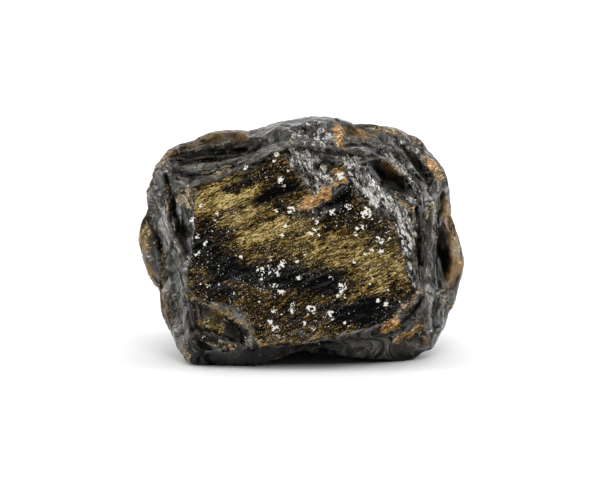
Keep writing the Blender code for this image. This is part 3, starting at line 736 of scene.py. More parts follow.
@dataclass
class Obsidian:
    """The stone: one solid lump, with its relief and what is painted on it.

    Lengths are in millimetres.
    """

    voxel: float = 0.43
    ridge_angle: float = radians(15.0)
    grain_height: float = 0.045
    layer_height: float = 0.085
    streak_height: float = 0.10
    swell_height: float = 0.13
    ripple_height: float = 0.045
    chip_depth: float = 0.10
    splinter_height: float = 0.16
    ledge_height: float = 0.15
    band_rise: float = radians(25.0)
    flakes: int = 130
    ridge_chips: int = 240
    shards_to_a_line: float = 5.0
    rim_roughness: float = 0.16
    carve_rounds: int = 14
    carve_steps: int = 18
    level_band: float = 0.06
    base_sheen: float = 0.44
    base_film_and_reflection: float = 0.10
    front_film_and_reflection: float = 0.12
    triangles: int = 194000
    seed: int = 7

    def build(self) -> bpy.types.Object:
        """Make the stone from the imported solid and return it.

        Returns:
            The stone, with every channel painted on it.
        """
        skin = self.fine_skin()
        skin.carve_crisp(self.carve_rounds, self.ridge_angle, self.carve_steps)
        skin = self.refined(skin)
        fixed = skin.points[:, 2] < self.level_band
        level = skin.points[fixed].copy()
        self.step_outline(skin)
        self.swell(skin)
        self.break_flakes(skin)
        self.crease(skin)
        self.chip_ridges(skin)
        self.break_shards(skin)
        normals = skin.normals()
        crest = self.crests(skin, normals)
        skin.points = skin.points + normals * self.relief(skin, crest)[:, None]
        skin.points[fixed] = level * (1.0, 1.0, 0.0)
        skin.points[:, 2] = np.maximum(skin.points[:, 2], 0.0)
        stone = self.new_object(skin)
        self.paint(stone, skin, self.crests(skin, skin.normals()))
        self.thin_out(stone)
        return stone

    def fine_skin(self) -> Skin:
        """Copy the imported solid, merge its loose triangles and remesh it finely.

        Returns:
            The fine mesh, in millimetres.
        """
        mesh = bpy.data.meshes.new("merged_solid")
        bm = bmesh.new()
        bm.from_mesh(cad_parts["stone"].data)
        bmesh.ops.remove_doubles(bm, verts=bm.verts, dist=2e-6)
        bm.to_mesh(mesh)
        bm.free()
        block = bpy.data.objects.new("merged_solid", mesh)
        bpy.context.scene.collection.objects.link(block)
        remesh = block.modifiers.new("fine", "REMESH")
        remesh.mode = "VOXEL"
        remesh.voxel_size = self.voxel * MM
        depsgraph = bpy.context.evaluated_depsgraph_get()
        fine = bpy.data.meshes.new_from_object(block.evaluated_get(depsgraph))
        points = np.empty(len(fine.vertices) * 3)
        fine.vertices.foreach_get("co", points)
        faces = [tuple(face.vertices) for face in fine.polygons]
        bpy.data.objects.remove(block)
        bpy.data.meshes.remove(fine)
        return Skin(points.reshape(-1, 3) / MM, faces)

    def refined(self, skin: Skin) -> Skin:
        """Divide the faces on the viewer's side, where the finest detail goes.

        Args:
            skin: the mesh before the division.

        Returns:
            The mesh after it, in triangles and quads.
        """
        toward = VIEW.facing(unit(skin.face_vectors()))
        bm = bmesh.new()
        verts = [bm.verts.new(p) for p in skin.points.tolist()]
        for face in skin.faces:
            bm.faces.new([verts[i] for i in face])
        edges = {edge for face, amount in zip(bm.faces, toward) if amount > 0.12 for edge in face.edges}
        bmesh.ops.subdivide_edges(bm, edges=list(edges), cuts=1, use_grid_fill=True)
        bmesh.ops.triangulate(bm, faces=[face for face in bm.faces if len(face.verts) > 4])
        bm.verts.index_update()
        points = np.array([vert.co[:] for vert in bm.verts])
        faces = [tuple(vert.index for vert in face.verts) for face in bm.faces]
        bm.free()
        return Skin(points, faces)

    def step_outline(self, skin: Skin) -> None:
        """Move the rim that the viewer sees in or out, to its broken outline.

        Args:
            skin: the mesh, which is changed.
        """
        uvw = VIEW.from_world(skin.points * MM)
        reach = np.hypot(uvw[:, 0], uvw[:, 1])
        angle = np.degrees(np.arctan2(uvw[:, 1], uvw[:, 0])) % 360.0
        rim = np.zeros(360)
        np.maximum.at(rim, angle.astype(int) % 360, reach)
        degrees = np.arange(360) + 0.5
        share = reach / np.interp(angle, degrees, rim, period=360.0)
        steps = np.array(OUTLINE_STEPS, float)
        move = np.interp(angle, steps[:, 0], steps[:, 1]) * smooth_step(0.86, 0.99, share)
        move *= smooth_step(0.0, 1.5, skin.points[:, 2])
        outwards = uvw[:, :2] / np.maximum(reach, 1e-6)[:, None]
        skin.points = skin.points + (outwards * move[:, None]) @ VIEW.axes()[:2]

    def swell(self, skin: Skin) -> None:
        """Give the broken sides gentle uneven swellings, as flakes leave them.

        Args:
            skin: the mesh, which is changed.
        """
        normals = skin.normals()
        facing = VIEW.facing(skin.broad(10))
        off_face = 1.0 - smooth_step(0.75, 0.92, facing)
        swelling = fractal(skin.points / 5.0, 2, 13.0) + 0.4 * fractal(skin.points / 2.2, 2, 17.0)
        skin.points = skin.points + normals * (self.swell_height * off_face * swelling)[:, None]

    def break_flakes(self, skin: Skin) -> None:
        """Break broad shallow flakes out of the sides, so that they meet in crisp ridges.

        Args:
            skin: the mesh, which is changed.
        """
        dice = random.Random(self.seed + 2)
        broad = skin.broad(10)
        facing = VIEW.facing(broad)
        places = np.flatnonzero((facing < 0.80) & (skin.points[:, 2] > 2.0)).tolist()
        tree, whole = tree_of(skin.points), skin.points.copy()
        for index in dice.sample(places, self.flakes):
            radius = 1.5 + 3.2 * dice.random() ** 1.4
            tilt = np.array([dice.gauss(0.0, 0.12) for _ in range(3)])
            skin.scoop(tree, whole[index], broad[index] + tilt, radius, radius * dice.uniform(0.03, 0.055))

    def crease(self, skin: Skin) -> None:
        """Raise the ridges and press in the grooves of the side that the viewer sees.

        Args:
            skin: the mesh, which is changed.
        """
        uvw = VIEW.from_world(skin.points * MM)
        broad = skin.broad(10)
        front = smooth_step(0.0, 0.25, VIEW.facing(broad))
        bent = self.bent(uvw)
        height = np.zeros(len(uvw))
        for stroke in CREASES:
            height += stroke.ledge(bent)
        height *= front * (0.95 + 0.4 * fractal(uvw / 4.0, 2, 121.0))
        skin.points = skin.points + broad * height[:, None]

    def chip_ridges(self, skin: Skin) -> None:
        """Break small round chips out of the ridges.

        Args:
            skin: the mesh, which is changed.
        """
        dice = random.Random(self.seed)
        normals = skin.normals()
        crest = self.crests(skin, normals)
        broad = skin.broad(6)
        ridge = np.flatnonzero((crest > 0.045) & (skin.points[:, 2] > 1.2)).tolist()
        tree, whole = tree_of(skin.points), skin.points.copy()
        for index in dice.sample(ridge, min(self.ridge_chips, len(ridge))):
            radius = 0.45 + 1.7 * dice.random() ** 2.6
            tilt = np.array([dice.gauss(0.0, 0.45) for _ in range(3)])
            outwards = broad[index] + tilt
            skin.scoop(tree, whole[index], outwards, radius, radius * dice.uniform(0.10, 0.22))

    def break_shards(self, skin: Skin) -> None:
        """Break the splintered places into small tilted facets.

        Args:
            skin: the mesh, which is changed.
        """
        dice = random.Random(self.seed + 1)
        broad = skin.broad(8)
        uvw = VIEW.from_world(skin.points * MM)
        seen = np.flatnonzero(VIEW.facing(broad) > 0.05)
        flat = tree_of(uvw[seen] * (1.0, 1.0, 0.0))
        tree, whole = tree_of(skin.points), skin.points.copy()
        for stroke in SPLINTER_STROKES:
            for start, end in zip(stroke.points, stroke.points[1:]):
                length = np.hypot(end[0] - start[0], end[1] - start[1])
                for _ in range(int(self.shards_to_a_line * length * stroke.width) + 1):
                    share = dice.random()
                    u = start[0] + share * (end[0] - start[0]) + dice.uniform(-1.0, 1.0) * stroke.width
                    v = start[1] + share * (end[1] - start[1]) + dice.uniform(-1.0, 1.0) * stroke.width
                    index = seen[flat.find((u, v, 0.0))[1]]
                    tilt = np.array([dice.gauss(0.0, 0.42) for _ in range(3)])
                    radius = dice.uniform(0.40, 1.05)
                    depth = radius * dice.uniform(0.14, 0.30)
                    skin.scoop(tree, whole[index], broad[index] + tilt, radius, depth)

    def crests(self, skin: Skin, normals: np.ndarray) -> np.ndarray:
        """Return how far each point stands out of its surroundings, in millimetres."""
        lift = ((skin.points - skin.blurred(skin.points, 8)) * normals).sum(axis=1)
        return skin.blurred(lift[:, None], 1)[:, 0]

    def relief(self, skin: Skin, crest: np.ndarray) -> np.ndarray:
        """Return how far each point moves outwards.

        Args:
            skin: the mesh before it is moved.
            crest: how far each point stands out of its surroundings.

        Returns:
            One distance for each point, in millimetres.
        """
        uvw = VIEW.from_world(skin.points * MM)
        facing = VIEW.facing(skin.broad(10))
        on_face = smooth_step(0.80, 0.93, facing) * inside_amount(SHEEN_FACE, uvw[:, :2], 1.6)
        behind = smooth_step(0.1, -0.3, facing)
        front = smooth_step(0.0, 0.2, facing)
        warped = self.warped(uvw)

        turn_cos, turn_sin = cos(self.band_rise), sin(self.band_rise)
        turn = np.array([[turn_cos, -turn_sin], [turn_sin, turn_cos]])
        along = uvw[:, :2] @ turn
        grain = fractal(uvw / 0.7, 3, 4.0)
        layers = fractal(np.column_stack([along[:, 0] / 7.0, along[:, 1] / 1.2, uvw[:, 2] / 2.0]), 3, 11.0)
        height = on_face * (self.grain_height * grain + self.layer_height * layers)

        reach = np.hypot(uvw[:, 0], uvw[:, 1])
        turnings = uvw[:, :2] / np.maximum(reach, 1.0)[:, None] * 3.6
        depth = (0.65 * uvw[:, 2] + 0.75 * reach) / 0.8
        streaks = fractal(np.column_stack([turnings, depth]), 3, 5.0)
        uneven = 0.6 + 0.6 * fractal(uvw / 6.0, 2, 21.0)
        height += (1.0 - on_face) * (1.0 - 0.7 * behind) * self.streak_height * streaks * uneven

        height += behind * self.ripples(skin.points)

        splinter = painted(SPLINTER_STROKES, warped, 0.5) * front
        splinters = ridged(np.column_stack([uvw[:, 0] / 0.8, uvw[:, 1] / 1.4, uvw[:, 2] / 1.0]), 3, 2.0)
        height += splinter * self.splinter_height * (splinters - 0.5)

        ledges = painted(LEDGE_STROKES, warped, 0.6) * front
        lines = uvw[:, 1] - 0.16 * uvw[:, 0] + 1.2 * fractal(uvw / 6.0, 2)
        height += ledges * self.ledge_height * (terraced(lines, 1.6) + 0.5 * terraced(lines, 0.7))

        edge = smooth_step(0.30, 0.05, np.abs(facing)) * smooth_step(1.0, 3.0, skin.points[:, 2])
        height += edge * self.rim_roughness * fractal(skin.points / 1.1, 3, 131.0)

        chips = np.maximum(fractal(skin.points / 1.0, 3, 31.0) + 0.1, 0.0)
        height -= smooth_step(0.04, 0.14, crest) * self.chip_depth * chips
        return height

    def warped(self, uvw: np.ndarray) -> np.ndarray:
        """Return the u and v of each point, moved a little so that painted edges are ragged."""
        shifts = [fractal(uvw / 1.3, 4, shift) for shift in (41.0, 61.0)]
        return uvw[:, :2] + 0.6 * np.column_stack(shifts)

    def bent(self, uvw: np.ndarray) -> np.ndarray:
        """Return the u and v of each point, moved gently so that drawn lines aren't straight."""
        shifts = [fractal(uvw / 2.5, 3, shift) for shift in (101.0, 111.0)]
        return uvw[:, :2] + 0.35 * np.column_stack(shifts)

    def drawn_lines(self, uvw: np.ndarray, sign: float, share: float) -> np.ndarray:
        """Return how near each point is to the middle of a ridge or a groove.

        Args:
            uvw: the points in the view's axes.
            sign: 1 for the ridges, -1 for the grooves.
            share: the share of its width that the middle of a line takes.

        Returns:
            One value for each point, from 0 to 1.
        """
        bent = self.bent(uvw)
        total = np.zeros(len(uvw))
        for stroke in CREASES:
            if stroke.strength * sign > 0.0:
                width = max(0.18, share * stroke.width)
                middle = Stroke(stroke.points, width, min(1.0, abs(stroke.strength) / 0.35))
                total = np.maximum(total, middle.amount(bent, 1.0))
        return total

    def ripples(self, points: np.ndarray) -> np.ndarray:
        """Return the rings that a blow leaves in broken glass, on the far side of the stone.

        Args:
            points: the points, in millimetres.

        Returns:
            One height for each point.
        """
        height = np.zeros(len(points))
        nearest = np.full(len(points), np.inf)
        rough = fractal(points / 6.0, 2, 71.0)
        for x, y, z, length in RIPPLE_CENTRES:
            gap = np.linalg.norm(points - np.array((x, y, z)), axis=1)
            rings = np.sin(2.0 * pi * (gap / length + 0.5 * rough)) * np.exp(-gap / 16.0)
            closer = gap < nearest
            height[closer] = rings[closer]
            nearest = np.minimum(nearest, gap)
        return self.ripple_height * height

    def new_object(self, skin: Skin) -> bpy.types.Object:
        """Make the mesh object from the arrays, in metres.

        Args:
            skin: the mesh as arrays.

        Returns:
            The stone.
        """
        mesh = bpy.data.meshes.new("obsidian")
        mesh.from_pydata((skin.points * MM).tolist(), [], skin.faces)
        mesh.polygons.foreach_set("use_smooth", [True] * len(mesh.polygons))
        mesh.update()
        stone = bpy.data.objects.new("obsidian", mesh)
        bpy.context.scene.collection.objects.link(stone)
        return stone

    def thin_out(self, stone: bpy.types.Object) -> None:
        """Merge triangles where the stone is flattest, down to the number that it may have.

        Args:
            stone: the painted stone, which gets the leaner mesh.
        """
        stone.data.calc_loop_triangles()
        share = self.triangles / len(stone.data.loop_triangles)
        thin = stone.modifiers.new("thin", "DECIMATE")
        thin.ratio = min(1.0, share)
        depsgraph = bpy.context.evaluated_depsgraph_get()
        lean = bpy.data.meshes.new_from_object(stone.evaluated_get(depsgraph))
        stone.modifiers.remove(thin)
        full, stone.data = stone.data, lean
        bpy.data.meshes.remove(full)
        lean.name = stone.name
        lean.polygons.foreach_set("use_smooth", [True] * len(lean.polygons))
        for vert in lean.vertices:
            vert.co.z = max(vert.co.z, 0.0)

    def paint(self, stone: bpy.types.Object, skin: Skin, crest: np.ndarray) -> None:
        """Store every channel on the points of the stone.

        Args:
            stone: the object that gets the channels.
            skin: its mesh as arrays, after the relief.
            crest: how far each point stands out of its surroundings.
        """
        uvw = VIEW.from_world(skin.points * MM)
        warped = self.warped(uvw)
        facing = VIEW.facing(skin.broad(10))
        front = smooth_step(0.0, 0.2, facing)
        face = smooth_step(0.72, 0.88, facing) * inside_amount(SHEEN_FACE, warped, 0.8)
        sheen = face * np.clip(self.base_sheen + painted(SHEEN_STROKES, warped, 0.7), 0.03, 1.0)
        sheen += front * (1.0 - face) * np.clip(painted(HOLLOW_STROKES, warped, 0.6), 0.0, 1.0)
        layers = fractal(np.column_stack([uvw[:, 0] / 8.0, uvw[:, 1] / 2.2, uvw[:, 2] / 3.0]), 3, 91.0)
        sheen += smooth_step(0.58, 0.98, -facing) * np.clip(0.30 + 0.45 * layers, 0.05, 0.6)
        crystals_and_glints = np.zeros(len(uvw))
        for u, v, size in CRYSTALS_AND_GLINTS:
            gap = np.hypot(uvw[:, 0] - u, uvw[:, 1] - v)
            crystals_and_glints = np.maximum(crystals_and_glints, smooth_step(1.9, 0.3, gap / size))
        splinter = painted(SPLINTER_STROKES, warped, 0.5) * front
        # Painted shade: along the grooves and in the deep places
        grooves = painted(RECESS_SHADE_STROKES, warped, 0.8) + self.drawn_lines(uvw, -1.0, 0.45)
        shaded_dips = smooth_step(0.05, 0.14, -crest)
        values = {
            Channel.FACE: face,
            Channel.SHEEN: sheen,
            Channel.SPLINTER: splinter,
            Channel.STAIN: painted(STAIN_STROKES, warped, 0.9) * front,
            Channel.RIM: painted(RIM_STROKES, warped, 0.7) * front,
            Channel.WARM: painted(WARM_STROKES, warped, 0.8) * front,
            # Grey film with painted reflection of the lights, more on the viewer's side
            Channel.FILM_AND_REFLECTION: self.base_film_and_reflection + front * (self.front_film_and_reflection + painted(FILM_AND_REFLECTION_STROKES, warped, 0.6)),
            # Worn crests with painted highlight, stronger on the viewer's side
            Channel.WEAR_AND_HIGHLIGHT: smooth_step(0.02, 0.08, crest) * (0.35 + 0.65 * front),
            # Pale crystal flecks, partly painted glints
            Channel.CRYSTAL_AND_GLINT: crystals_and_glints * front,
            # Painted shade in grooves and dips
            Channel.RECESS_SHADE: front * grooves + 0.7 * shaded_dips * (1.0 - 0.8 * splinter),
            # Painted highlight along the middle of the ridges
            Channel.EDGE: front * self.drawn_lines(uvw, 1.0, 0.35),
        }
        for channel, amounts in values.items():
            layer = stone.data.attributes.new(channel.value, "FLOAT", "POINT")
            layer.data.foreach_set("value", np.clip(amounts, 0.0, 1.6))


def painted(strokes: tuple[Stroke, ...], uv: np.ndarray, softness: float) -> np.ndarray:
    """Add up strokes at each point.

    Args:
        strokes: what is painted.
        uv: the points, as rows of u and v.
        softness: the share of each half width over which a stroke fades.

    Returns:
        One sum for each point.
    """
    total = np.zeros(len(uv))
    for stroke in strokes:
        total += stroke.amount(uv, softness)
    return total


def terraced(value: np.ndarray, step: float) -> np.ndarray:
    """Return a saw-tooth of 0 to 1 that rises slowly and drops at once, every step."""
    share = value / step - np.floor(value / step)
    return np.where(share < 0.85, share / 0.85, (1.0 - share) / 0.15)


class NodeBook:
    """Adds and links the nodes of one material."""

    def __init__(self, name: str) -> None:
        """Start an empty material.

        Args:
            name: the name of the material.
        """
        self.material = bpy.data.materials.new(name)
        self.material.use_nodes = True
        self.tree = self.material.node_tree
        self.tree.nodes.clear()

    def feed(self, socket: Socket, value: object) -> None:
        """Link a socket to another one, or set its constant.

        Args:
            socket: the input.
            value: the output to link, or the constant.
        """
        if isinstance(value, Socket):
            self.tree.links.new(value, socket)
        else:
            socket.default_value = value

    def add(self, kind: str, settings: dict[str, object], inputs: dict[object, object]) -> bpy.types.Node:
        """Add one node.

        Args:
            kind: the node's type.
            settings: its options by name.
            inputs: what goes into its sockets, by name or number.

        Returns:
            The node.
        """
        node = self.tree.nodes.new(kind)
        for name, value in settings.items():
            setattr(node, name, value)
        for key, value in inputs.items():
            self.feed(node.inputs[key], value)
        return node

    def amount(self, channel: Channel) -> Socket:
        """Return what is painted in a channel."""
        return self.add("ShaderNodeAttribute", {"attribute_name": channel.value}, {}).outputs["Fac"]

    def maths(self, operation: str, a: object, b: object = 0.0, clamp: bool = False) -> Socket:
        """Return one sum, product or other operation on two numbers."""
        settings = {"operation": operation, "use_clamp": clamp}
        return self.add("ShaderNodeMath", settings, {0: a, 1: b}).outputs[0]

    def times(self, a: object, b: object, clamp: bool = False) -> Socket:
        """Return the product of two numbers."""
        return self.maths("MULTIPLY", a, b, clamp)

    def plus(self, a: object, b: object) -> Socket:
        """Return the sum of two numbers."""
        return self.maths("ADD", a, b)

    def minus(self, a: object, b: object, clamp: bool = False) -> Socket:
        """Return the first number less the second."""
        return self.maths("SUBTRACT", a, b, clamp)

    def most(self, a: object, b: object) -> Socket:
        """Return the larger of two numbers."""
        return self.maths("MAXIMUM", a, b)

    def centred(self, value: object, weight: float) -> Socket:
        """Return how far a value of 0 to 1 is from its middle, times a weight."""
        return self.times(self.minus(value, 0.5), weight)

    def mixed(self, share: object, a: object, b: object) -> Socket:
        """Return a colour between two, by share."""
        settings = {"data_type": "RGBA"}
        return self.add("ShaderNodeMix", settings, {0: share, 6: a, 7: b}).outputs[2]

    def tinted(self, share: object, colour: Socket, tint: Colour) -> Socket:
        """Return a colour multiplied by a tint, by share."""
        settings = {"data_type": "RGBA", "blend_type": "MULTIPLY"}
        return self.add("ShaderNodeMix", settings, {0: share, 6: colour, 7: (*tint, 1.0)}).outputs[2]

    def blended(self, share: object, a: object, b: object) -> Socket:
        """Return a number between two, by share."""
        return self.add("ShaderNodeMix", {"data_type": "FLOAT"}, {0: share, 2: a, 3: b}).outputs[0]

    def spread(self, value: object, low: float, high: float) -> Socket:
        """Return 0 at low, 1 at high and a straight rise between, clamped."""
        return self.add("ShaderNodeMapRange", {}, {0: value, 1: low, 2: high}).outputs[0]

    def clouds(self, place: object, scale: float, detail: float = 3.0, roughness: float = 0.55,
               distortion: float = 0.0) -> Socket:
        """Return noise of about 0.2 to 0.8.

        Args:
            place: the coordinates.
            scale: how many lumps there are to one unit of them.
            detail: how many finer octaves are added.
            roughness: how strong the finer octaves are.
            distortion: how much the lumps are warped.

        Returns:
            The noise.
        """
        inputs = {"Vector": place, "Scale": scale, "Detail": detail, "Roughness": roughness,
                  "Distortion": distortion}
        return self.add("ShaderNodeTexNoise", {}, inputs).outputs[0]

    def cells(self, place: object, scale: float) -> bpy.types.NodeOutputs:
        """Return three random numbers of 0 to 1 for each of the small cells that fill space.

        Args:
            place: the coordinates.
            scale: how many cells there are to one unit of them.

        Returns:
            The numbers.
        """
        inputs = {"Vector": place, "Scale": scale}
        colour = self.add("ShaderNodeTexVoronoi", {}, inputs).outputs["Color"]
        return self.add("ShaderNodeSeparateColor", {}, {0: colour}).outputs

    def ramp(self, value: object, stops: tuple[tuple[float, Colour], ...]) -> Socket:
        """Return a colour from a row of stops, each a place and a colour.

        Args:
            value: where on the row the colour is read, from 0 to 1.
            stops: the places and their colours.

        Returns:
            The colour.
        """
        node = self.add("ShaderNodeValToRGB", {}, {0: value})
        elements = node.color_ramp.elements
        while len(elements) < len(stops):
            elements.new(0.5)
        for element, (place, colour) in zip(elements, stops):
            element.position = place
            element.color = (*colour, 1.0)
        return node.outputs[0]

    def stretched(self, turn: Matrix, lengths: Triple) -> Socket:
        """Return object coordinates turned to three directions and divided by three lengths.

        Args:
            turn: the directions, as the columns of a matrix.
            lengths: the length of one unit in each direction, in millimetres.

        Returns:
            The coordinates.
        """
        coordinates = self.add("ShaderNodeTexCoord", {}, {}).outputs["Object"]
        middle = Vector(VIEW.middle) * MM
        inputs = {"Vector": coordinates, "Location": middle, "Rotation": turn.to_euler(),
                  "Scale": Vector(lengths) * MM}
        return self.add("ShaderNodeMapping", {"vector_type": "TEXTURE"}, inputs).outputs[0]


@dataclass(frozen=True)
class Patterns:
    """The coordinates that the patterns are drawn on, in millimetres: along the view's axes,
    along the golden bands, round the face of the stone, and along the splinters."""

    place: Socket
    bands: Socket
    fibres: Socket
    rings: Socket
    shards: Socket


@dataclass(frozen=True)
class GlassFinish:
    """Black volcanic glass with a golden sheen, stains, pale crystal flecks and worn ridges, and painted
    glints, reflection, highlights and shade.
    """

    glass: Colour = (0.0028, 0.0025, 0.0022)
    smoky_glass: Colour = (0.016, 0.013, 0.009)
    # Grey of the dull film and its painted reflection, also mixed into the worn crests
    grey_film_and_reflection: Colour = (0.082, 0.077, 0.064)
    golds: tuple[tuple[float, Colour], ...] = (
        (0.14, (0.002, 0.0015, 0.0006)),
        (0.34, (0.016, 0.0095, 0.0015)),
        (0.50, (0.067, 0.0395, 0.0055)),
        (0.66, (0.180, 0.1120, 0.0190)),
        (0.84, (0.370, 0.2530, 0.0600)),
        (1.00, (0.740, 0.5800, 0.2600)),
    )
    # From black to white: painted shade and painted highlight of single shards on pale splintered glass
    shards: tuple[tuple[float, Colour], ...] = (
        (0.22, (0.006, 0.006, 0.005)),
        (0.34, (0.070, 0.065, 0.056)),
        (0.47, (0.440, 0.425, 0.390)),
        (0.60, (0.920, 0.905, 0.870)),
    )
    dark_rim: Colour = (0.028, 0.016, 0.005)
    rim: Colour = (0.180, 0.100, 0.022)
    pale_rim: Colour = (0.420, 0.310, 0.150)
    tan: Colour = (0.42, 0.300, 0.120)
    brown: Colour = (0.10, 0.052, 0.020)
    orange: Colour = (0.66, 0.315, 0.070)
    # White of the crystal flecks and painted glints, and of pale bits in the stains
    crystal: Colour = (0.97, 0.94, 0.85)
    # Tan of the worn crests and their painted highlight
    wear_and_highlight: Colour = (0.30, 0.245, 0.160)
    # Pale grey of the painted highlight along the ridges, also used for thin pale streak lines
    edge: Colour = (0.26, 0.25, 0.225)
    warm_tint: Colour = (0.95, 0.80, 0.60)
    # Tint of the painted shade in grooves and deep places
    recess_shade_tint: Colour = (0.45, 0.43, 0.40)
    clear_roughness: float = 0.09
    cloudy_roughness: float = 0.22
    sheen_roughness: float = 0.34
    dull_roughness: float = 0.65
    glass_gloss: float = 0.5
    streak_gloss: Pair = (0.08, 0.92)
    face_gloss: float = 0.30
    rim_gloss: float = 0.16
    # Gloss where shade is painted
    recess_shade_gloss: float = 0.05
    coarse_bump: float = 0.00030
    grain_bump: float = 0.00005

    def dress(self, stone: bpy.types.Object) -> None:
        """Give the stone this finish.

        Args:
            stone: the painted stone.
        """
        book = NodeBook("golden_sheen_obsidian")
        patterns = self.patterns(book)
        gold_share = self.gold_share(book, patterns)
        body = self.glass_colour(book, patterns)
        warm = book.tinted(book.amount(Channel.WARM), book.ramp(gold_share, self.golds), self.warm_tint)
        body = book.mixed(book.spread(gold_share, 0.10, 0.30), body, warm)
        body = self.splinters(book, patterns, body)
        body = self.worn(book, patterns, body)
        body, stain_share = self.stained(book, patterns, body)
        body, crystal_and_glint_share = self.crystals_and_glints(book, patterns, body)

        dull = book.most(stain_share, crystal_and_glint_share)
        cloud = book.spread(book.clouds(patterns.place, 0.35, 5.0, 0.65), 0.35, 0.7)
        rough = book.blended(cloud, self.clear_roughness, self.cloudy_roughness)
        rough = book.blended(book.spread(gold_share, 0.14, 0.6), rough, self.sheen_roughness)
        rough = book.blended(dull, rough, self.dull_roughness)
        streaks = book.spread(book.clouds(patterns.rings, 2.8, 6.0, 0.78, 0.3), 0.38, 0.60)
        streaks = book.blended(streaks, *self.streak_gloss)
        gloss = book.blended(book.spread(book.amount(Channel.FILM_AND_REFLECTION), 0.10, 0.24), self.glass_gloss, streaks)
        gloss = book.blended(book.amount(Channel.FACE), gloss, self.face_gloss)
        gloss = book.blended(book.amount(Channel.RIM), gloss, self.rim_gloss)
        # Painted shade in grooves and deep places, joined with the dark cracks, darkens the colour and
        # dulls the gloss
        recess_shade = book.most(book.amount(Channel.RECESS_SHADE), self.cracks(book, patterns))
        body = book.tinted(recess_shade, body, self.recess_shade_tint)
        shader = book.add("ShaderNodeBsdfPrincipled", {}, {
            "Base Color": body, "Roughness": rough, "IOR": 1.5, "Normal": self.fine_relief(book, patterns),
            "Specular IOR Level": book.blended(recess_shade, gloss, self.recess_shade_gloss),
        })
        book.add("ShaderNodeOutputMaterial", {}, {"Surface": shader.outputs[0]})
        stone.data.materials.append(book.material)

    def patterns(self, book: NodeBook) -> Patterns:
        """Work out the coordinates of the patterns.

        Args:
            book: the material's nodes.

        Returns:
            The coordinates.
        """
        axes = VIEW.axes()
        rise = Obsidian().band_rise
        along = Vector(axes[0]) * cos(rise) + Vector(axes[1]) * sin(rise)
        across = Vector(axes[1]) * cos(rise) - Vector(axes[0]) * sin(rise)
        tilted = Matrix((along, across, Vector(axes[2]))).transposed()
        upright = Matrix(axes.tolist()).transposed()
        place = book.stretched(upright, (1.0, 1.0, 1.0))
        parts = book.add("ShaderNodeSeparateXYZ", {}, {0: place}).outputs
        flat = book.add("ShaderNodeCombineXYZ", {}, {0: parts[0], 1: parts[1]}).outputs[0]
        reach = book.add("ShaderNodeVectorMath", {"operation": "LENGTH"}, {0: flat}).outputs[1]
        turning = book.add("ShaderNodeVectorMath", {"operation": "NORMALIZE"}, {0: flat}).outputs[0]
        depth = book.plus(book.times(parts[2], 0.8), book.times(reach, 0.95))
        layer = book.add("ShaderNodeCombineXYZ", {}, {2: depth}).outputs[0]
        rings = book.add("ShaderNodeVectorMath", {"operation": "MULTIPLY_ADD"},
                         {0: turning, 1: (3.2, 3.2, 3.2), 2: layer}).outputs[0]
        bands = book.stretched(tilted, (2.8, 0.75, 1.2))
        fibres = book.stretched(tilted, (1.0, 0.22, 0.5))
        leaning = Matrix((across * -1.0, along, Vector(axes[2]))).transposed()
        inputs = {"Vector": place, "Scale": 0.8, "Detail": 2.0}
        bent = book.add("ShaderNodeTexNoise", {}, inputs).outputs["Color"]
        long_cells = book.stretched(leaning, (1.7, 0.50, 1.0))
        shards = book.add("ShaderNodeVectorMath", {"operation": "MULTIPLY_ADD"},
                          {0: bent, 1: (1.6, 1.6, 1.6), 2: long_cells}).outputs[0]
        return Patterns(place, bands, fibres, rings, shards)

    def gold_share(self, book: NodeBook, patterns: Patterns) -> Socket:
        """Return how golden each place is, in bands, fibres, grains and glints.

        Args:
            book: the material's nodes.
            patterns: the coordinates.

        Returns:
            A share of 0 to 1.
        """
        sheen = book.amount(Channel.SHEEN)
        share = sheen
        weights = (
            (book.clouds(patterns.bands, 1.0, 3.0, 0.6, 0.5), 1.3),
            (book.clouds(patterns.fibres, 1.0, 3.0, 0.7, 0.5), 1.9),
            (book.clouds(patterns.place, 3.6, 2.0, 0.7), 1.4),
            (book.cells(patterns.fibres, 1.4)[0], 0.46),
        )
        for cloud, weight in weights:
            change = book.centred(cloud, weight)
            share = book.plus(share, change)
        return book.times(share, book.spread(sheen, 0.01, 0.10), clamp=True)

    def cracks(self, book: NodeBook, patterns: Patterns) -> Socket:
        """Return thin dark lines between the layers of the broken sides, where the grey veil with painted
        reflection lies.

        Args:
            book: the material's nodes.
            patterns: the coordinates.

        Returns:
            A share of 0 to 1.
        """
        cloud = book.clouds(patterns.rings, 0.9, 5.0, 0.66, 0.3)
        gap = book.maths("ABSOLUTE", book.minus(cloud, 0.5))
        lines = book.minus(1.0, book.spread(gap, 0.016, 0.062))
        where = book.spread(book.amount(Channel.FILM_AND_REFLECTION), 0.14, 0.22)
        off_face = book.minus(1.0, book.amount(Channel.FACE), clamp=True)
        return book.times(book.times(lines, where), off_face)

    def glass_colour(self, book: NodeBook, patterns: Patterns) -> Socket:
        """Return the black of the glass, smoky in places, with grey streaks off the face: a dull veil with
        painted reflection of the lights.

        Args:
            book: the material's nodes.
            patterns: the coordinates.

        Returns:
            The colour.
        """
        smoke = book.spread(book.clouds(patterns.place, 0.22, 4.0, 0.6), 0.5, 0.75)
        glass = book.mixed(smoke, (*self.glass, 1.0), (*self.smoky_glass, 1.0))
        streaks = book.clouds(patterns.rings, 2.4, 7.0, 0.80, 0.3)
        streaks = book.centred(streaks, 2.8)
        # The grey film here is partly painted reflection of the lights
        film_and_reflection = book.spread(book.plus(book.amount(Channel.FILM_AND_REFLECTION), streaks), 0.22, 0.90)
        clear = book.most(book.amount(Channel.FACE), book.amount(Channel.RIM))
        off_face = book.minus(1.0, clear, clamp=True)
        body = book.mixed(book.times(film_and_reflection, off_face), glass, (*self.grey_film_and_reflection, 1.0))
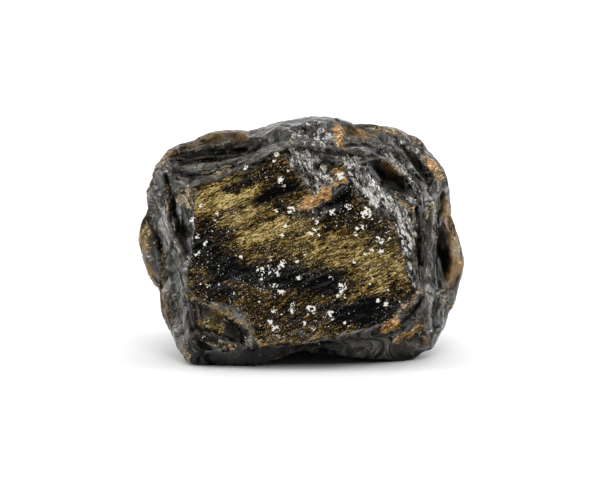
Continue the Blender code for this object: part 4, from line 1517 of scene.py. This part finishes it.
        # Thin pale streak lines, in the grey of the painted ridge highlight, where the film is thick
        lines = book.spread(book.clouds(patterns.rings, 5.0, 2.0, 0.6, 0.2), 0.60, 0.70)
        lines = book.times(lines, book.spread(book.amount(Channel.FILM_AND_REFLECTION), 0.20, 0.50))
        return book.mixed(book.times(lines, off_face), body, (*self.edge, 1.0))

    def splinters(self, book: NodeBook, patterns: Patterns, body: Socket) -> Socket:
        """Lay shards of splintered pale glass, each painted with its own brightness from painted shade to
        painted highlight, with dark lines between them.

        Args:
            book: the material's nodes.
            patterns: the coordinates.
            body: the colour so far.

        Returns:
            The new colour.
        """
        traits = book.cells(patterns.shards, 1.0)
        finer = book.cells(patterns.shards, 2.7)
        # Each shard gets a random brightness: painted highlight on some, painted shade on others
        bright = book.blended(0.35, traits[0], finer[1])
        lift = book.times(book.minus(book.amount(Channel.SPLINTER), 1.0), 0.4)
        clumps = book.minus(book.clouds(patterns.place, 0.55, 3.0, 0.6), 0.56)
        lift = book.plus(lift, book.times(clumps, 1.3))
        bright = book.plus(bright, lift)
        shard = book.ramp(bright, self.shards)
        cloud = book.clouds(patterns.place, 0.9, 3.0, 0.7)
        edge = book.plus(book.amount(Channel.SPLINTER), book.minus(cloud, 0.5))
        gap = {"Vector": patterns.shards, "Scale": 1.0}
        line = book.add("ShaderNodeTexVoronoi", {"feature": "DISTANCE_TO_EDGE"}, gap).outputs["Distance"]
        shard = book.mixed(book.spread(line, 0.02, 0.10), (*self.glass, 1.0), shard)
        share = book.spread(edge, 0.42, 0.60)
        return book.mixed(share, body, shard)

    def worn(self, book: NodeBook, patterns: Patterns, body: Socket) -> Socket:
        """Lay painted highlights on the crests, brown thin rims, and worn ridges with painted highlight
        over the glass.

        Args:
            book: the material's nodes.
            patterns: the coordinates.
            body: the colour so far.

        Returns:
            The new colour.
        """
        cloud = book.clouds(patterns.place, 0.7, 5.0, 0.7)
        # Painted highlight along the middle of the ridges
        edge_highlight_share = book.times(book.amount(Channel.EDGE), book.spread(cloud, 0.38, 0.62))
        body = book.mixed(edge_highlight_share, body, (*self.edge, 1.0))
        rim_share = book.times(book.amount(Channel.RIM), book.spread(cloud, 0.26, 0.40))
        depth = book.clouds(patterns.place, 0.28, 3.0, 0.6)
        rim = book.mixed(book.spread(depth, 0.42, 0.60), (*self.dark_rim, 1.0), (*self.rim, 1.0))
        rim = book.mixed(book.spread(cloud, 0.60, 0.74), rim, (*self.pale_rim, 1.0))
        body = book.mixed(rim_share, body, rim)
        fine = book.spread(book.clouds(patterns.place, 1.2, 5.0, 0.78), 0.44, 0.56)
        # Worn crests with painted highlight along the ridges
        wear_and_highlight_share = book.times(book.amount(Channel.WEAR_AND_HIGHLIGHT), fine)
        wear_and_highlight = book.mixed(book.spread(cloud, 0.4, 0.6), (*self.wear_and_highlight, 1.0), (*self.grey_film_and_reflection, 1.0))
        return book.mixed(wear_and_highlight_share, body, wear_and_highlight)

    def stained(self, book: NodeBook, patterns: Patterns, body: Socket) -> tuple[Socket, Socket]:
        """Lay the rough tan and orange deposits over the colour.

        Args:
            book: the material's nodes.
            patterns: the coordinates.
            body: the colour so far.

        Returns:
            The new colour, and how much of a deposit is at each place.
        """
        cloud = book.clouds(patterns.place, 1.3, 6.0, 0.8)
        fibre = book.clouds(patterns.fibres, 0.8, 4.0, 0.7)
        rough = book.centred(cloud, 4.0)
        edge = book.plus(book.amount(Channel.STAIN), rough)
        share = book.spread(edge, 0.62, 0.74)
        core = book.plus(book.amount(Channel.STAIN), book.centred(fibre, 1.2))
        tint = book.mixed(book.spread(core, 0.92, 1.08), (*self.tan, 1.0), (*self.orange, 1.0))
        tint = book.mixed(book.spread(fibre, 0.51, 0.45), tint, (*self.brown, 1.0))
        tint = book.mixed(book.spread(fibre, 0.58, 0.64), tint, (*self.crystal, 1.0))
        return book.mixed(share, body, tint), share

    def crystals_and_glints(self, book: NodeBook, patterns: Patterns, body: Socket) -> tuple[Socket, Socket]:
        """Lay the pale crystal flecks over the colour, with specks and painted glints.

        Args:
            book: the material's nodes.
            patterns: the coordinates.
            body: the colour so far.

        Returns:
            The new colour, and how much of the pale crystal flecks, specks and painted glints is at each
            place.
        """
        cloud = book.clouds(patterns.place, 2.0, 3.0, 0.7)
        angular = book.cells(patterns.place, 2.7)
        rough = book.plus(book.centred(cloud, 1.2), book.centred(angular[0], 1.7))
        painted_share = book.amount(Channel.CRYSTAL_AND_GLINT)
        share = book.spread(book.plus(painted_share, rough), 0.70, 0.74)
        share = book.times(share, book.spread(painted_share, 0.12, 0.22))
        inputs = {"Vector": patterns.place, "Scale": 0.85}
        grid = book.add("ShaderNodeTexVoronoi", {}, inputs)
        traits = book.add("ShaderNodeSeparateColor", {}, {0: grid.outputs["Color"]}).outputs
        gap = book.plus(grid.outputs["Distance"], book.centred(cloud, 0.6))
        size = book.times(book.maths("POWER", traits[1], 1.6), 0.17)
        speck = book.spread(book.minus(size, gap), 0.0, 0.02)
        flocks = book.clouds(patterns.place, 0.22, 2.0)
        chosen = book.plus(flocks, book.times(book.amount(Channel.FACE), 0.36))
        speck = book.times(speck, book.spread(book.plus(traits[0], chosen), 1.24, 1.26))
        share = book.most(share, speck)
        # Painted glints: tiny pale points in flocks, most of them on the face
        glint = book.plus(book.clouds(patterns.place, 4.2, 1.0), book.times(chosen, 0.28))
        share = book.most(share, book.spread(glint, 0.95, 0.98))
        return book.mixed(share, body, (*self.crystal, 1.0)), share

    def fine_relief(self, book: NodeBook, patterns: Patterns) -> Socket:
        """Return the normal of the finest relief: streaks off the face, grain, and splinters.

        Args:
            book: the material's nodes.
            patterns: the coordinates.

        Returns:
            The normal.
        """
        face = book.amount(Channel.FACE)
        streaks = book.clouds(patterns.rings, 1.3, 3.0, 0.6, 0.3)
        depth = book.plus(book.amount(Channel.FILM_AND_REFLECTION), 0.30)
        streaks = book.times(streaks, depth)
        waves = book.times(book.clouds(patterns.bands, 0.9, 4.0, 0.6, 0.6), 0.4)
        drawn = book.blended(face, streaks, waves)
        inputs = {"Strength": 0.9, "Distance": self.coarse_bump, "Height": drawn}
        broad = book.add("ShaderNodeBump", {}, inputs).outputs[0]
        grains = book.clouds(patterns.place, 2.6, 4.0, 0.7)
        inputs = {"Strength": 0.3, "Distance": self.grain_bump, "Height": grains, "Normal": broad}
        grained = book.add("ShaderNodeBump", {}, inputs).outputs[0]
        inputs = {"Vector": patterns.shards, "Scale": 1.0}
        facets = book.add("ShaderNodeTexVoronoi", {}, inputs).outputs["Distance"]
        height = book.times(facets, book.amount(Channel.SPLINTER))
        inputs = {"Strength": 0.7, "Distance": self.coarse_bump, "Height": height, "Normal": grained}
        return book.add("ShaderNodeBump", {}, inputs).outputs[0]


@dataclass(frozen=True)
class SoftLight:
    """One soft box of light: where it stands, its sides in metres, and how bright it looks."""

    name: str
    place: Triple
    sides: Pair
    radiance: float
    target: Triple = (0.0, 0.0, 0.02)

    def build(self) -> None:
        """Add the light, turned to its target and hidden from the camera."""
        data = bpy.data.lights.new(self.name, "AREA")
        data.shape = "RECTANGLE"
        data.size, data.size_y = self.sides
        data.energy = self.radiance * pi * self.sides[0] * self.sides[1]
        light = bpy.data.objects.new(self.name, data)
        light.location = self.place
        aim = Vector(self.target) - Vector(self.place)
        light.rotation_euler = aim.to_track_quat("-Z", "Y").to_euler()
        light.visible_camera = False
        bpy.context.scene.collection.objects.link(light)


@dataclass(frozen=True)
class Studio:
    """A plain pale floor, soft lights and the camera. Lengths are in metres."""

    floor_side: float = 3.0
    floor_colour: Colour = (0.88, 0.88, 0.88)
    dusk: Colour = (0.035, 0.035, 0.037)
    distance: float = 1.5
    lens: float = 450.0
    aim: Triple = (-0.4, 0.1, 0.0)
    lights: tuple[SoftLight, ...] = (
        SoftLight("left_box", (-0.60, 0.06, 0.24), (0.34, 0.5), 5.2),
        SoftLight("right_box", (0.60, 0.06, 0.24), (0.34, 0.5), 6.0),
        SoftLight("top_box", (0.0, 0.10, 0.80), (1.4, 1.1), 1.7),
        SoftLight("front_box", (0.10, -0.50, 0.70), (0.5, 0.35), 3.2),
        SoftLight("back_box", (0.0, 0.90, 0.40), (1.6, 0.6), 1.6),
    )

    def build(self) -> None:
        """Lay the floor, hang the lights and set up the camera."""
        self.lay_floor()
        for light in self.lights:
            light.build()
        world = bpy.data.worlds.new("dusk")
        world.use_nodes = True
        world.node_tree.nodes["Background"].inputs[0].default_value = (*self.dusk, 1.0)
        bpy.context.scene.world = world
        bpy.context.scene.view_settings.view_transform = "Standard"
        self.set_camera()

    def lay_floor(self) -> None:
        """Add the floor, which isn't part of the stone."""
        mesh = bpy.data.meshes.new("floor")
        bm = bmesh.new()
        bmesh.ops.create_grid(bm, x_segments=1, y_segments=1, size=self.floor_side / 2.0)
        bm.to_mesh(mesh)
        bm.free()
        book = NodeBook("pale_floor")
        inputs = {"Base Color": (*self.floor_colour, 1.0), "Roughness": 0.9, "Specular IOR Level": 0.1}
        shader = book.add("ShaderNodeBsdfPrincipled", {}, inputs)
        book.add("ShaderNodeOutputMaterial", {}, {"Surface": shader.outputs[0]})
        mesh.materials.append(book.material)
        floor = bpy.data.objects.new("floor", mesh)
        bpy.context.scene.collection.objects.link(floor)

    def set_camera(self) -> None:
        """Put the camera at the picture's angle."""
        data = bpy.data.cameras.new("camera")
        data.lens = self.lens
        data.sensor_width = 36.0
        data.clip_start = 0.05
        data.clip_end = 20.0
        camera = bpy.data.objects.new("camera", data)
        camera.location = VIEW.to_world(*self.aim) + VIEW.toward() * self.distance
        camera.rotation_euler = Matrix(VIEW.axes().tolist()).transposed().to_euler()
        bpy.context.scene.collection.objects.link(camera)
        bpy.context.scene.camera = camera


def main() -> None:
    """Build the studio and the stone."""
    logging.basicConfig(level=logging.INFO, format="%(message)s")
    Studio().build()
    LOG.info("studio: floor, lights and camera")
    stone = Obsidian().build()
    GlassFinish().dress(stone)
    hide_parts("stone")
    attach(stone, "root")
    stone.data.calc_loop_triangles()
    LOG.info("obsidian: %d points, %d triangles", len(stone.data.vertices), len(stone.data.loop_triangles))


if __name__ == "__main__":
    main()
